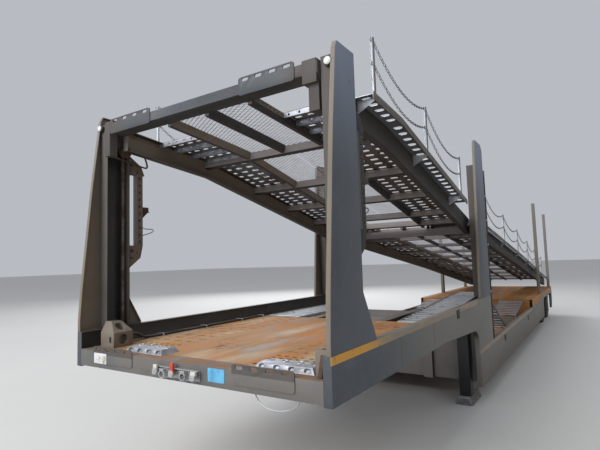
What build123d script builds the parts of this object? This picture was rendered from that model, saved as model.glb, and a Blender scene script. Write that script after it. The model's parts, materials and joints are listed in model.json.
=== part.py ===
from build123d import *
import os
from math import atan2, cos, degrees, hypot, radians, sin, tan

os.makedirs("parts", exist_ok=True)

# A two-deck car transporter semi-trailer that stands on its landing legs and its twin wheels.
# The x axis runs forwards, y to the trailer's left and z up, in millimetres.
# The origin is on the ground under the middle. Places along the trailer are distances aft of the nose face.

# Overall sizes
WIDTH = 2550
LENGTH = 14100
COUPLER_REACH = 70
HALF = WIDTH / 2
NOSE_X = (LENGTH - COUPLER_REACH) / 2

# Gaps between pieces that move and pieces that don't
RUNNING_GAP = 0.5
SIDE_GAP = 12

# Painted side panels: plate with a rim turned inwards all round
PANEL_PLATE = 8
PANEL_RIM = 60
NECK_TOP = 1310
NECK_BOTTOM = 1020
NECK_LEVEL_END = 2350
NECK_ARCH_TOP = 945
NECK_ARCH_RADIUS = 230
WELL_FRONT = 3750
WELL_TOP = 690
WELL_BOTTOM = 240
WELL_TOP_END = 10000
AXLE_PANEL_START = 11400
AXLE_PANEL_TOP = 780
PANEL_END = 13950
PANEL_END_RISE_START = 13700
PANEL_END_BOTTOM = 430

# Decks at the bottom level
NECK_DECK = 1167
NECK_DECK_END = 2550
WELL_FLOOR = 420
AXLE_DECK = 860
AXLE_DECK_START = 9150
DECK_SHEET = 6
CENTRE_HALF = 490
TRACK_OUTER = 1100

# Nose beam and the coupling below the neck
NOSE_BEAM_HEIGHT = 135
NOSE_BEAM_DEPTH = 160
NOSE_WALL = 8
KINGPIN_AFT = 1350
KINGPIN_R = 25.4
KINGPIN_FLANGE_R = 36
KINGPIN_NECK = 35
KINGPIN_STEP = 20
RUB_PLATE = 10
RUB_PLATE_HALF = 560
RUB_PLATE_START = 650
RUB_PLATE_END = 2100

# Frame members
MEMBER_WIDTH = 80
MEMBER_PITCH = 700
RAIL_HALF = 450
RAIL_FLANGE = 120
REAR_RAIL_DEPTH = 200
RAIL_WEB = 10

# Posts: outline plates and the guides that the upper decks run in
POST_PLATE = 10
POST_RIM = 34
GUIDE_WALL = 8
GUIDE_DEPTH = 110
FRONT_POST_TOP = 3284
FRONT_GUIDE_START = 205
FRONT_GUIDE_END = 445
SECOND_POST_START = 3970
SECOND_POST_TOP_START = 4130
SECOND_POST_END = 4590
SECOND_POST_TOP = 3460
THIRD_POST_AFT = 11000
THIRD_POST_TOP = 3200
REAR_POST_AFT = 13600
REAR_POST_TOP = 3100
THIRD_POST = 120
REAR_POST = 90
SLIM_POST_DEPTH = 70

# Upper decks: stations (aft, height) of the top of the deck, from front to rear
BEAM_DEPTH = 200
FRONT_PIVOT_AFT = 4260
REAR_PIVOT_AFT = 4670
DECK_END = 60
FRONT_STATIONS = [(330, 3155), (1400, 3050), (FRONT_PIVOT_AFT + DECK_END, 2392)]
REAR_STATIONS = [(REAR_PIVOT_AFT - DECK_END, 2386), (9000, 1820), (13900, 1112)]
UPPER_BEAM_OUTER = 1100
UPPER_BEAM_WEB = 8
UPPER_BEAM_FLANGE = 70
STRINGER_WIDTH = 40
STRINGER_Y = 450
CROSS_WIDTH = 60
PLANK_START = 750
PLANK_END = 1400
FRONT_BEAM_AFT = 173
FRONT_BEAM_DEPTH = 157
FRONT_BEAM_HEIGHT = 80
FRONT_BEAM_TOP = 3172
TRACK_SHEET = 5
PIVOT_R = 30
PIN_R = 22
SCREW_R = 20
SLOT_GAP = 6

# Wheels
TYRE_R = 394.5
TYRE_WIDTH = 246
TWIN_SPACING = 279
RIM_R = 222
AXLE_AFTS = (11970, 13170)
AXLE_TUBE_R = 63.5
SPINDLE_R = 40
HUB_R = 110
ARCH_CLEARANCE = 100
ARCH_TOP = 700

# Walkways and railings beside the upper decks
WALKWAY_OUTER = 1262
WALKWAY_LIP = 60
RAILING_TUBE_R = 17

# Landing legs
LEG_AFT = 3880
LEG_SIDE = 1045
LEG_TUBE = 140
FOOT_LENGTH = 510
FOOT_WIDTH = 210
FOOT_HEIGHT = 90


def aft(distance):
    """X of a place this far behind the nose face."""
    return NOSE_X - distance


def height(stations, distance):
    """Height of a deck line at a distance aft, straight between its stations."""
    for (front, front_z), (rear, rear_z) in zip(stations, stations[1:]):
        if distance <= rear or rear == stations[-1][0]:
            return front_z + (rear_z - front_z) * (distance - front) / (rear - front)


def slope_degrees(stations, distance):
    """Angle by which a deck line falls towards the rear."""
    step = 1
    return degrees(atan2(height(stations, distance) - height(stations, distance + step), step))


def part_line(stations, start, end):
    """The stretch of a deck line between two distances aft, with the stations between them."""
    middle = [(d, z) for d, z in stations if start < d < end]
    return [(start, height(stations, start))] + middle + [(end, height(stations, end))]


def band(stations, depth, drop=0):
    """Corners, in x and z, of a band that follows the stations, drop below them and depth deep."""
    top = [(aft(d), z - drop) for d, z in stations]
    bottom = [(aft(d), z - drop - depth) for d, z in reversed(stations)]
    return top + bottom


def side_plane(y):
    """Vertical plane along the trailer at this y, whose extrusions grow towards -y."""
    return Plane.XZ.offset(-y)


def slope_plane(front, rear):
    """Plane on the line between two stations, origin at the rear one, x forwards along the slope."""
    angle = atan2(front[1] - rear[1], rear[0] - front[0])
    return Plane(
        origin=(aft(rear[0]), 0, rear[1]),
        x_dir=(cos(angle), 0, sin(angle)),
        z_dir=(-sin(angle), 0, cos(angle)),
    )


def side_prism(y, corners, thickness):
    """Flat piece with these corners in x and z, from y inwards by its thickness."""
    with BuildSketch(side_plane(y)) as face:
        Polygon(*corners, align=None)
    extrude(face.sketch, amount=thickness)


def rimmed_plate(y, corners, plate, rim, rim_wall):
    """Plate at y with a rim round its outline that reaches further in."""
    side_prism(y, corners, plate)
    with BuildSketch(side_plane(y)) as edge:
        Polygon(*corners, align=None)
        offset(amount=-rim_wall, kind=Kind.INTERSECTION, mode=Mode.SUBTRACT)
    extrude(edge.sketch, amount=rim)


def block(x0, x1, y0, y1, z0, z1):
    """Box between two opposite corners."""
    with Locations(((x0 + x1) / 2, (y0 + y1) / 2, (z0 + z1) / 2)):
        Box(abs(x1 - x0), abs(y1 - y0), abs(z1 - z0))


def keep(builder, label):
    """Names a finished piece and writes it."""
    builder.part.label = label
    export_step(builder.part, f"parts/{label}.step")


# Side panels with the wheel arches and the arch behind the tractor's wheels
side_corners = [
    (0, NECK_TOP),
    (SECOND_POST_END, NECK_TOP),
    (SECOND_POST_END, WELL_TOP),
    (WELL_TOP_END, WELL_TOP),
    (AXLE_PANEL_START, AXLE_PANEL_TOP),
    (PANEL_END, AXLE_PANEL_TOP),
    (PANEL_END, PANEL_END_BOTTOM),
    (PANEL_END_RISE_START, WELL_BOTTOM),
    (WELL_FRONT, WELL_BOTTOM),
    (WELL_FRONT, NECK_ARCH_TOP),
    (NECK_LEVEL_END, NECK_BOTTOM),
    (0, NECK_BOTTOM),
]
ARCH_WIDTH = 2 * (TYRE_R + ARCH_CLEARANCE)
ARCH_CORNER = 180
ARCH_HEIGHT = ARCH_TOP - WELL_BOTTOM + ARCH_CORNER
# Columns: distance aft, height of the lashing recess
RECESSES = [(2780, 1240), (5500, 575), (8270, 560)]
RECESS_SIZE = (180, 100)
RECESS_DEPTH = 36
RECESS_WALL = 4
RECESS_BAR = (26, 12)
RECESS_BAR_AHEAD = 38
arch_places = [(aft(a), ARCH_TOP - ARCH_HEIGHT / 2) for a in AXLE_AFTS]
recess_places = [(aft(d), z) for d, z in RECESSES]


with BuildPart() as side_panels:
    for depth, hollow in ((PANEL_PLATE, False), (PANEL_RIM, True)):
        with BuildSketch(side_plane(HALF)) as outline:
            Polygon(*[(aft(d), z) for d, z in side_corners], align=None)
            neck_corner = outline.vertices().filter_by(
                lambda v: abs(v.X - aft(WELL_FRONT)) < 1 and abs(abs(v.Y) + abs(v.Z) - NECK_ARCH_TOP) < 1
            )
            fillet(neck_corner, NECK_ARCH_RADIUS)
            with Locations(*arch_places):
                RectangleRounded(ARCH_WIDTH, ARCH_HEIGHT, ARCH_CORNER, mode=Mode.SUBTRACT)
            if hollow:
                offset(amount=-PANEL_PLATE, kind=Kind.INTERSECTION, mode=Mode.SUBTRACT)
        extrude(amount=depth)
    with BuildSketch(side_plane(HALF)):
        with Locations(*recess_places):
            Rectangle(*[length + 2 * RECESS_WALL for length in RECESS_SIZE])
    extrude(amount=RECESS_DEPTH + RECESS_WALL)
    with BuildSketch(side_plane(HALF)):
        with Locations(*recess_places):
            Rectangle(*RECESS_SIZE)
    extrude(amount=RECESS_DEPTH, mode=Mode.SUBTRACT)
    with BuildSketch(side_plane(HALF - PANEL_PLATE)):
        with Locations(*[(x + RECESS_BAR_AHEAD, z) for x, z in recess_places]):
            Rectangle(RECESS_BAR[0], RECESS_SIZE[1])
    extrude(amount=RECESS_BAR[1])
    mirror(about=Plane.XZ)
keep(side_panels, "side_panels")

# Slotted stop plates on the front faces of the nose beam and of the upper deck's front beam
STOP_LAP = 95
STOP_RISE = 40
STOP_WALL = 8
STOP_CORNER = 22
STOP_SLOTS = 4
STOP_SLOT = (62, 26)
STOP_SLOT_BELOW_TOP = 22
# Columns: middle, length
NOSE_STOPS = [(770, 500), (-770, 510)]
DECK_STOPS = [(725, 490), (-785, 550)]


def stop_plates(places, distance, beam_top):
    """Slotted plates on the front face of a beam that starts this far aft, rising above its top."""
    with BuildSketch(Plane.YZ.offset(aft(distance))) as plates:
        for middle, length in places:
            with Locations((middle, beam_top + (STOP_RISE - STOP_LAP) / 2)):
                RectangleRounded(length, STOP_RISE + STOP_LAP, STOP_CORNER)
            with Locations((middle, beam_top + STOP_RISE - STOP_SLOT_BELOW_TOP)):
                with GridLocations(length / STOP_SLOTS, 1, STOP_SLOTS, 1):
                    SlotOverall(*STOP_SLOT, mode=Mode.SUBTRACT)
    extrude(plates.sketch, amount=STOP_WALL)


# Nose beam: a box section between the panels' rims
NOSE_HALF = HALF - PANEL_RIM
with BuildPart() as nose_beam:
    with BuildSketch(side_plane(NOSE_HALF)):
        with Locations((aft(NOSE_BEAM_DEPTH / 2), NECK_DECK - NOSE_BEAM_HEIGHT / 2)):
            Rectangle(NOSE_BEAM_DEPTH, NOSE_BEAM_HEIGHT)
            Rectangle(NOSE_BEAM_DEPTH - 2 * NOSE_WALL, NOSE_BEAM_HEIGHT - 2 * NOSE_WALL, mode=Mode.SUBTRACT)
    extrude(amount=2 * NOSE_HALF)
    stop_plates(NOSE_STOPS, 0, NECK_DECK)
keep(nose_beam, "nose_beam")


def slotted_sheet(x0, x1, y0, y1, z_top, thickness, pitch, columns, slot, margin):
    """Level sheet with columns of slots that lie across the trailer."""
    length = abs(x1 - x0)
    rows = int((length - 2 * margin) // pitch) + 1
    with BuildSketch(Plane.XY.offset(z_top - thickness)) as sheet:
        with Locations(((x0 + x1) / 2, (y0 + y1) / 2)):
            Rectangle(length, abs(y1 - y0))
            with GridLocations(pitch, abs(y1 - y0) / columns, rows, columns):
                Rectangle(slot[0], slot[1], mode=Mode.SUBTRACT)
    extrude(sheet.sketch, amount=thickness)


# Neck deck: a plain middle sheet, slotted wheel tracks and plain edges
PANEL_INSIDE = HALF - PANEL_PLATE
GRIP_END = 560
TRACK_SLOT = (28, 90)
TRACK_PITCH = 150
TRACK_COLUMNS = 4
TRACK_MARGIN = 90
GRIP_HOLE_R = 21
GRIP_PITCH = 72
GRIP_ROWS = (5, 8)
with BuildPart() as neck_deck:
    deck_x = (aft(NECK_DECK_END), aft(NOSE_BEAM_DEPTH))
    block(*deck_x, -CENTRE_HALF, CENTRE_HALF, NECK_DECK - DECK_SHEET, NECK_DECK)
    for side in (1, -1):
        y0, y1 = sorted((side * TRACK_OUTER, side * NOSE_HALF))
        block(*deck_x, y0, y1, NECK_DECK - DECK_SHEET, NECK_DECK)
keep(neck_deck, "neck_deck")

with BuildPart() as neck_tracks:
    for side in (1, -1):
        y0, y1 = sorted((side * CENTRE_HALF, side * TRACK_OUTER))
        slotted_sheet(
            aft(NECK_DECK_END), aft(GRIP_END), y0, y1, NECK_DECK, DECK_SHEET,
            TRACK_PITCH, TRACK_COLUMNS, TRACK_SLOT, TRACK_MARGIN,
        )
    with BuildSketch(Plane.XY.offset(NECK_DECK - DECK_SHEET)):
        for side in (1, -1):
            with Locations((aft((NOSE_BEAM_DEPTH + GRIP_END) / 2), side * (CENTRE_HALF + TRACK_OUTER) / 2)):
                Rectangle(GRIP_END - NOSE_BEAM_DEPTH, TRACK_OUTER - CENTRE_HALF)
                with GridLocations(GRIP_PITCH, GRIP_PITCH, *GRIP_ROWS):
                    Circle(GRIP_HOLE_R, mode=Mode.SUBTRACT)
    extrude(amount=DECK_SHEET)
keep(neck_tracks, "neck_tracks")

# Galvanised planks with sloped sides on the nose beam, with holes in their tops and fronts.
# Columns: inner and outer y
NOSE_PLANKS = [(620, 1095), (-745, -300)]
NOSE_PLANK_START = 100
NOSE_PLANK_LENGTH = 185
NOSE_PLANK_HEIGHT = 38
NOSE_PLANK_SLOPE = 35
NOSE_PLANK_HOLES = 4
NOSE_PLANK_HOLE_BACK = 118
FRONT_HOLE = (44, 26)
FRONT_HOLE_DEPTH = 18
slope = radians(NOSE_PLANK_SLOPE)
with BuildPart() as nose_planks:
    with BuildSketch(Plane.XY.offset(NECK_DECK)):
        for y0, y1 in NOSE_PLANKS:
            with Locations((aft(NOSE_PLANK_START + NOSE_PLANK_LENGTH / 2), (y0 + y1) / 2)):
                Rectangle(NOSE_PLANK_LENGTH, y1 - y0)
    extrude(amount=NOSE_PLANK_HEIGHT, taper=NOSE_PLANK_SLOPE)
    for y0, y1 in NOSE_PLANKS:
        hole_pitch = (y1 - y0) / NOSE_PLANK_HOLES
        with BuildSketch(Plane.XY.offset(NECK_DECK)):
            with Locations((aft(NOSE_PLANK_START + NOSE_PLANK_HOLE_BACK), (y0 + y1) / 2)):
                with GridLocations(1, hole_pitch, 1, NOSE_PLANK_HOLES):
                    Circle(GRIP_HOLE_R)
        extrude(amount=NOSE_PLANK_HEIGHT, mode=Mode.SUBTRACT)
        front_middle = (
            aft(NOSE_PLANK_START) - NOSE_PLANK_HEIGHT / 2 * tan(slope), (y0 + y1) / 2,
            NECK_DECK + NOSE_PLANK_HEIGHT / 2,
        )
        with BuildSketch(Plane(front_middle, x_dir=(0, 1, 0), z_dir=(cos(slope), 0, sin(slope)))):
            with GridLocations(hole_pitch, 1, NOSE_PLANK_HOLES, 1):
                SlotOverall(*FRONT_HOLE)
        extrude(amount=-FRONT_HOLE_DEPTH, mode=Mode.SUBTRACT)
keep(nose_planks, "nose_planks")

# Neck frame below the deck: two rails, cross members and edge rails, down to the rub plate
NECK_FRAME_TOP = NECK_DECK - DECK_SHEET
NECK_FRAME_DEPTH = NECK_FRAME_TOP - NECK_BOTTOM - RUB_PLATE
NECK_FRAME_END = 3900
NECK_CROSS_AFTS = (600, 1300, 2000, 2500)
LADDER_DEPTH = 55
LADDER_LEVEL = 1180
LADDER_SEAT = LADDER_LEVEL - LADDER_DEPTH
LADDER_SEAT_AFT = 3300
with BuildPart() as neck_frame:
    with BuildSketch(Plane.XY.offset(NECK_FRAME_TOP - NECK_FRAME_DEPTH)):
        for side in (1, -1):
            with Locations(((aft(NOSE_BEAM_DEPTH) + aft(NECK_FRAME_END)) / 2, side * RAIL_HALF)):
                Rectangle(NECK_FRAME_END - NOSE_BEAM_DEPTH, RAIL_WEB)
        with Locations(*[(aft(a), 0) for a in NECK_CROSS_AFTS]):
            Rectangle(RAIL_WEB, 2 * PANEL_INSIDE)
    extrude(amount=NECK_FRAME_DEPTH)
    for level in (NECK_FRAME_TOP - NECK_FRAME_DEPTH, NECK_FRAME_TOP - RAIL_WEB):
        with BuildSketch(Plane.XY.offset(level)):
            for side in (1, -1):
                with Locations(((aft(NOSE_BEAM_DEPTH) + aft(NECK_FRAME_END)) / 2, side * RAIL_HALF)):
                    Rectangle(NECK_FRAME_END - NOSE_BEAM_DEPTH, RAIL_FLANGE)
            with Locations(*[(aft(a), 0) for a in NECK_CROSS_AFTS]):
                Rectangle(MEMBER_WIDTH, 2 * NOSE_HALF)
        extrude(amount=RAIL_WEB)
    block(
        aft(LADDER_SEAT_AFT + MEMBER_WIDTH / 2), aft(LADDER_SEAT_AFT - MEMBER_WIDTH / 2),
        -PANEL_INSIDE, PANEL_INSIDE, NECK_FRAME_TOP - NECK_FRAME_DEPTH, LADDER_SEAT,
    )
keep(neck_frame, "neck_frame")

# Rub plate that rests on the tractor's coupling, with the kingpin below it
# Columns: radius, length downwards
KINGPIN_STEPS = [(KINGPIN_FLANGE_R, KINGPIN_STEP), (KINGPIN_R, KINGPIN_NECK), (KINGPIN_FLANGE_R, KINGPIN_STEP)]
with BuildPart() as coupling_plate:
    block(
        aft(RUB_PLATE_END), aft(RUB_PLATE_START), -RUB_PLATE_HALF, RUB_PLATE_HALF,
        NECK_BOTTOM, NECK_BOTTOM + RUB_PLATE,
    )
    level = NECK_BOTTOM
    for radius, length in KINGPIN_STEPS:
        level -= length
        with BuildSketch(Plane.XY.offset(level)):
            with Locations((aft(KINGPIN_AFT), 0)):
                Circle(radius)
        extrude(amount=length)
keep(coupling_plate, "coupling_plate")

# Bulkhead that ties the neck to the well
BULKHEAD_AFT = 3900
BULKHEAD_DEPTH = 90
BULKHEAD_STILE = 120
BULKHEAD_STILE_Y = 610
with BuildPart() as bulkhead:
    block(
        aft(BULKHEAD_AFT + BULKHEAD_DEPTH), aft(BULKHEAD_AFT + BULKHEAD_DEPTH - PANEL_PLATE),
        -PANEL_INSIDE, PANEL_INSIDE, WELL_BOTTOM + PANEL_PLATE, LADDER_SEAT,
    )
    for side in (1, -1):
        y0, y1 = sorted((side * BULKHEAD_STILE_Y, side * (BULKHEAD_STILE_Y - BULKHEAD_STILE)))
        block(
            aft(BULKHEAD_AFT + BULKHEAD_DEPTH - PANEL_PLATE), aft(BULKHEAD_AFT), y0, y1,
            WELL_BOTTOM + PANEL_PLATE, LADDER_SEAT,
        )
keep(bulkhead, "bulkhead")

# Well: cross members and rails below the floor sheet
WELL_START = BULKHEAD_AFT + BULKHEAD_DEPTH
WELL_FRAME_TOP = WELL_FLOOR - DECK_SHEET
WELL_FRAME_BOTTOM = WELL_BOTTOM + PANEL_PLATE
WELL_CROSS = [WELL_START + 300 + MEMBER_PITCH * i for i in range(7)]
with BuildPart() as well_frame:
    for side in (1, -1):
        block(
            aft(AXLE_DECK_START), aft(WELL_START), side * RAIL_HALF - RAIL_WEB / 2, side * RAIL_HALF + RAIL_WEB / 2,
            WELL_FRAME_BOTTOM, WELL_FRAME_TOP,
        )
    for a in WELL_CROSS:
        for z in (WELL_FRAME_BOTTOM, WELL_FRAME_TOP - PANEL_PLATE):
            block(aft(a + MEMBER_WIDTH), aft(a), -NOSE_HALF, NOSE_HALF, z, z + PANEL_PLATE)
        block(aft(a + PANEL_PLATE), aft(a), -PANEL_INSIDE, PANEL_INSIDE, WELL_FRAME_BOTTOM, WELL_FRAME_TOP)
keep(well_frame, "well_frame")

with BuildPart() as well_floor:
    block(
        aft(AXLE_DECK_START), aft(WELL_START), -PANEL_INSIDE, PANEL_INSIDE, WELL_FRAME_TOP, WELL_FLOOR,
    )
keep(well_floor, "well_floor")

# Rung tracks. The left one in front is set higher than the right one, on stands
LADDER_INNER = 600
RAISED_INNER = 690
LADDER_OUTER = 1090
LADDER_WALL = 8
LADDER_MARGIN = 50
RUNG = (42, 12)
RUNG_PITCH = 125
HOOK_LAP = 50
HOOK_WALL = 12
HOOK_BITE = 10
FRONT_LADDER_TOP = 1310
LADDER_FOOT = 476
RAMP_FOOT = 650
STAND_DEPTH = 60
STAND_INSET = 50
RAISED_START = 4750
RAISED_END = 5300
RAISED_FOOT_AFT = 7000
LEVEL_FOOT_AFT = 5600
RAMP_START = 7950
raised_track = [
    (NECK_DECK_END, LADDER_LEVEL), (RAISED_START, FRONT_LADDER_TOP), (RAISED_END, FRONT_LADDER_TOP),
    (RAISED_FOOT_AFT, LADDER_FOOT),
]
level_track = [(NECK_DECK_END, LADDER_LEVEL), (WELL_START, LADDER_LEVEL), (LEVEL_FOOT_AFT, LADDER_FOOT)]
rear_ramp = [(RAMP_START, RAMP_FOOT), (AXLE_DECK_START - SIDE_GAP, AXLE_DECK)]
# Columns: side, stations (aft, height) of the rungs' tops, inner y, distances aft of its stands
LADDERS = [
    (1, raised_track, RAISED_INNER, (RAISED_START, RAISED_END - STAND_DEPTH)),
    (-1, level_track, LADDER_INNER, ()),
    (1, rear_ramp, LADDER_INNER, (RAMP_START + STAND_INSET,)),
    (-1, rear_ramp, LADDER_INNER, (RAMP_START + STAND_INSET,)),
]


def ladder(stations, left, right):
    """Two rails and rungs that follow the stations, between its left and right edges."""
    for y in (left, right + LADDER_WALL):
        side_prism(y, band(stations, LADDER_DEPTH), LADDER_WALL)
    first, last = stations[0][0] + LADDER_MARGIN, stations[-1][0] - LADDER_MARGIN
    count = int((last - first) // RUNG_PITCH) + 1
    with BuildSketch(side_plane(left - LADDER_WALL)) as rungs:
        for i in range(count):
            d = first + i * RUNG_PITCH
            with Locations((aft(d), height(stations, d) - RUNG[1])):
                Rectangle(*RUNG, rotation=slope_degrees(stations, d))
    extrude(rungs.sketch, amount=left - right - 2 * LADDER_WALL)


with BuildPart() as ladders:
    for side, stations, inner, _ in LADDERS:
        right, left = sorted((side * inner, side * LADDER_OUTER))
        ladder(stations, left, right)
        if stations[0][0] == NECK_DECK_END:
            block(
                aft(NECK_DECK_END + HOOK_BITE), aft(NECK_DECK_END - HOOK_LAP), right, left,
                NECK_DECK, NECK_DECK + HOOK_WALL,
            )
keep(ladders, "ladders")

with BuildPart() as ladder_stands:
    for side, stations, inner, places in LADDERS:
        y0, y1 = sorted((side * inner, side * LADDER_OUTER))
        for d in places:
            top = min(height(stations, d), height(stations, d + STAND_DEPTH)) - LADDER_DEPTH
            block(aft(d + STAND_DEPTH), aft(d), y0, y1, WELL_FLOOR, top)
keep(ladder_stands, "ladder_stands")

# Axle deck over the wheels, with folded edges, riser, rung bars, rails and cross members
TAIL_BEAM_START = PANEL_END
TAIL_BEAM_END = 14070
AXLE_EDGE = [(AXLE_DECK_START, WELL_TOP), (WELL_TOP_END, WELL_TOP), (AXLE_PANEL_START, AXLE_PANEL_TOP)]
AXLE_UNDERSIDE = AXLE_DECK - DECK_SHEET
BAR_PITCH = 150
BAR_FIRST = AXLE_DECK_START + 80
BAR_COUNT = int((PANEL_END - BAR_FIRST) // BAR_PITCH)
with BuildPart() as axle_deck:
    block(aft(TAIL_BEAM_END), aft(AXLE_DECK_START), -HALF, HALF, AXLE_UNDERSIDE, AXLE_DECK)
    edge = [(aft(d), z) for d, z in AXLE_EDGE + [(PANEL_END, AXLE_PANEL_TOP), (PANEL_END, AXLE_UNDERSIDE)]]
    side_prism(HALF, edge + [(aft(AXLE_DECK_START), AXLE_UNDERSIDE)], PANEL_PLATE)
    side_prism(-HALF + PANEL_PLATE, edge + [(aft(AXLE_DECK_START), AXLE_UNDERSIDE)], PANEL_PLATE)
    block(
        aft(AXLE_DECK_START + PANEL_PLATE), aft(AXLE_DECK_START), -NOSE_HALF, NOSE_HALF, WELL_FLOOR, AXLE_UNDERSIDE
    )
    with BuildSketch(Plane.XY.offset(AXLE_DECK)):
        for side in (1, -1):
            with Locations(*[
                (aft(BAR_FIRST + i * BAR_PITCH), side * (LADDER_INNER + LADDER_OUTER) / 2) for i in range(BAR_COUNT)
            ]):
                Rectangle(RUNG[0], LADDER_OUTER - LADDER_INNER)
    extrude(amount=RUNG[1])
keep(axle_deck, "axle_deck")

# Tail beam with its lamps
TAIL_BEAM_BOTTOM = 600
TAIL_LAMP = (360, 110)
TAIL_LAMP_Y = 880
with BuildPart() as tail_beam:
    block(aft(TAIL_BEAM_END), aft(TAIL_BEAM_START), -NOSE_HALF, NOSE_HALF, TAIL_BEAM_BOTTOM, AXLE_UNDERSIDE)
keep(tail_beam, "tail_beam")

with BuildPart() as tail_lamps:
    for side in (1, -1):
        y = side * TAIL_LAMP_Y
        z = (TAIL_BEAM_BOTTOM + AXLE_UNDERSIDE) / 2
        block(
            aft(LENGTH), aft(TAIL_BEAM_END), y - TAIL_LAMP[0] / 2, y + TAIL_LAMP[0] / 2,
            z - TAIL_LAMP[1] / 2, z + TAIL_LAMP[1] / 2,
        )
keep(tail_lamps, "tail_lamps")

# Axles, trailing arms, hangers and air bags
TYRE_MIDDLE = HALF - PANEL_RIM - SIDE_GAP - TYRE_WIDTH / 2
BEAD_HALF = 88
DISC_MIDDLE = TYRE_MIDDLE - TWIN_SPACING / 2
HUB_INNER = TYRE_MIDDLE - TWIN_SPACING - BEAD_HALF
HUB_GAP = 6
AXLE_TUBE_END = HUB_INNER - HUB_GAP
SPINDLE_END = DISC_MIDDLE + 170
ARM_FRONT = 430
ARM_REAR = 340
ARM_WIDTH = 80
ARM_DEPTH = 60
HANGER_LENGTH = 120
AIR_BAG_R = 115
with BuildPart() as axles:
    for a in AXLE_AFTS:
        for radius, reach in ((AXLE_TUBE_R, AXLE_TUBE_END), (SPINDLE_R, SPINDLE_END)):
            with BuildSketch(side_plane(reach)):
                with Locations((aft(a), TYRE_R)):
                    Circle(radius)
            extrude(amount=2 * reach)
keep(axles, "axles")

ARM_TOP = TYRE_R - AXLE_TUBE_R
with BuildPart() as trailing_arms:
    for a in AXLE_AFTS:
        for side in (1, -1):
            y = side * RAIL_HALF
            block(
                aft(a + ARM_REAR + AIR_BAG_R), aft(a - ARM_FRONT), y - ARM_WIDTH / 2, y + ARM_WIDTH / 2,
                ARM_TOP - ARM_DEPTH, ARM_TOP,
            )
keep(trailing_arms, "trailing_arms")

REAR_RAIL_UNDERSIDE = AXLE_UNDERSIDE - REAR_RAIL_DEPTH
REAR_RAIL_START = AXLE_DECK_START + PANEL_PLATE
REAR_CROSS_AFTS = (9300, 9950, 10600, 11250, 12540, 13800)
REAR_CROSS_DEPTH = 70
with BuildPart() as rear_frame:
    for side in (1, -1):
        rail_y = side * RAIL_HALF
        x0, x1 = aft(TAIL_BEAM_START), aft(REAR_RAIL_START)
        block(x0, x1, rail_y - RAIL_WEB / 2, rail_y + RAIL_WEB / 2, REAR_RAIL_UNDERSIDE, AXLE_UNDERSIDE)
        for z in (AXLE_UNDERSIDE - RAIL_WEB, REAR_RAIL_UNDERSIDE):
            block(x0, x1, rail_y - RAIL_FLANGE / 2, rail_y + RAIL_FLANGE / 2, z, z + RAIL_WEB)
    for a in REAR_CROSS_AFTS:
        block(
            aft(a + PANEL_PLATE), aft(a), -PANEL_INSIDE, PANEL_INSIDE,
            AXLE_UNDERSIDE - REAR_CROSS_DEPTH, AXLE_UNDERSIDE,
        )
    for a in AXLE_AFTS:
        for side in (1, -1):
            y = side * RAIL_HALF
            block(
                aft(a - ARM_FRONT), aft(a - ARM_FRONT - HANGER_LENGTH), y - RAIL_FLANGE / 2, y + RAIL_FLANGE / 2,
                ARM_TOP - ARM_DEPTH, REAR_RAIL_UNDERSIDE,
            )
keep(rear_frame, "rear_frame")

with BuildPart() as air_bags:
    with BuildSketch(Plane.XY.offset(ARM_TOP)):
        for a in AXLE_AFTS:
            with Locations((aft(a + ARM_REAR), RAIL_HALF), (aft(a + ARM_REAR), -RAIL_HALF)):
                Circle(AIR_BAG_R)
    extrude(amount=REAR_RAIL_UNDERSIDE - ARM_TOP)
keep(air_bags, "air_bags")

# Twin wheels. Tyre section columns: offset from the tyre's middle, radius
TREAD_HALF = 98
TYRE_SECTION = [
    (-BEAD_HALF, RIM_R), (-TYRE_WIDTH / 2, RIM_R + 60), (-TYRE_WIDTH / 2 + 6, TYRE_R - 45), (-TREAD_HALF, TYRE_R),
    (TREAD_HALF, TYRE_R), (TYRE_WIDTH / 2 - 6, TYRE_R - 45), (TYRE_WIDTH / 2, RIM_R + 60), (BEAD_HALF, RIM_R),
]
RIM_WALL = 10
DISC_WALL = 12
DRUM_R = 190
HAND_HOLES = 8
HAND_HOLE_R = 24
HAND_HOLE_PITCH_R = 165
HUB_CAP_R = 62
HUB_CAP_END = SPINDLE_END + 25
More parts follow.
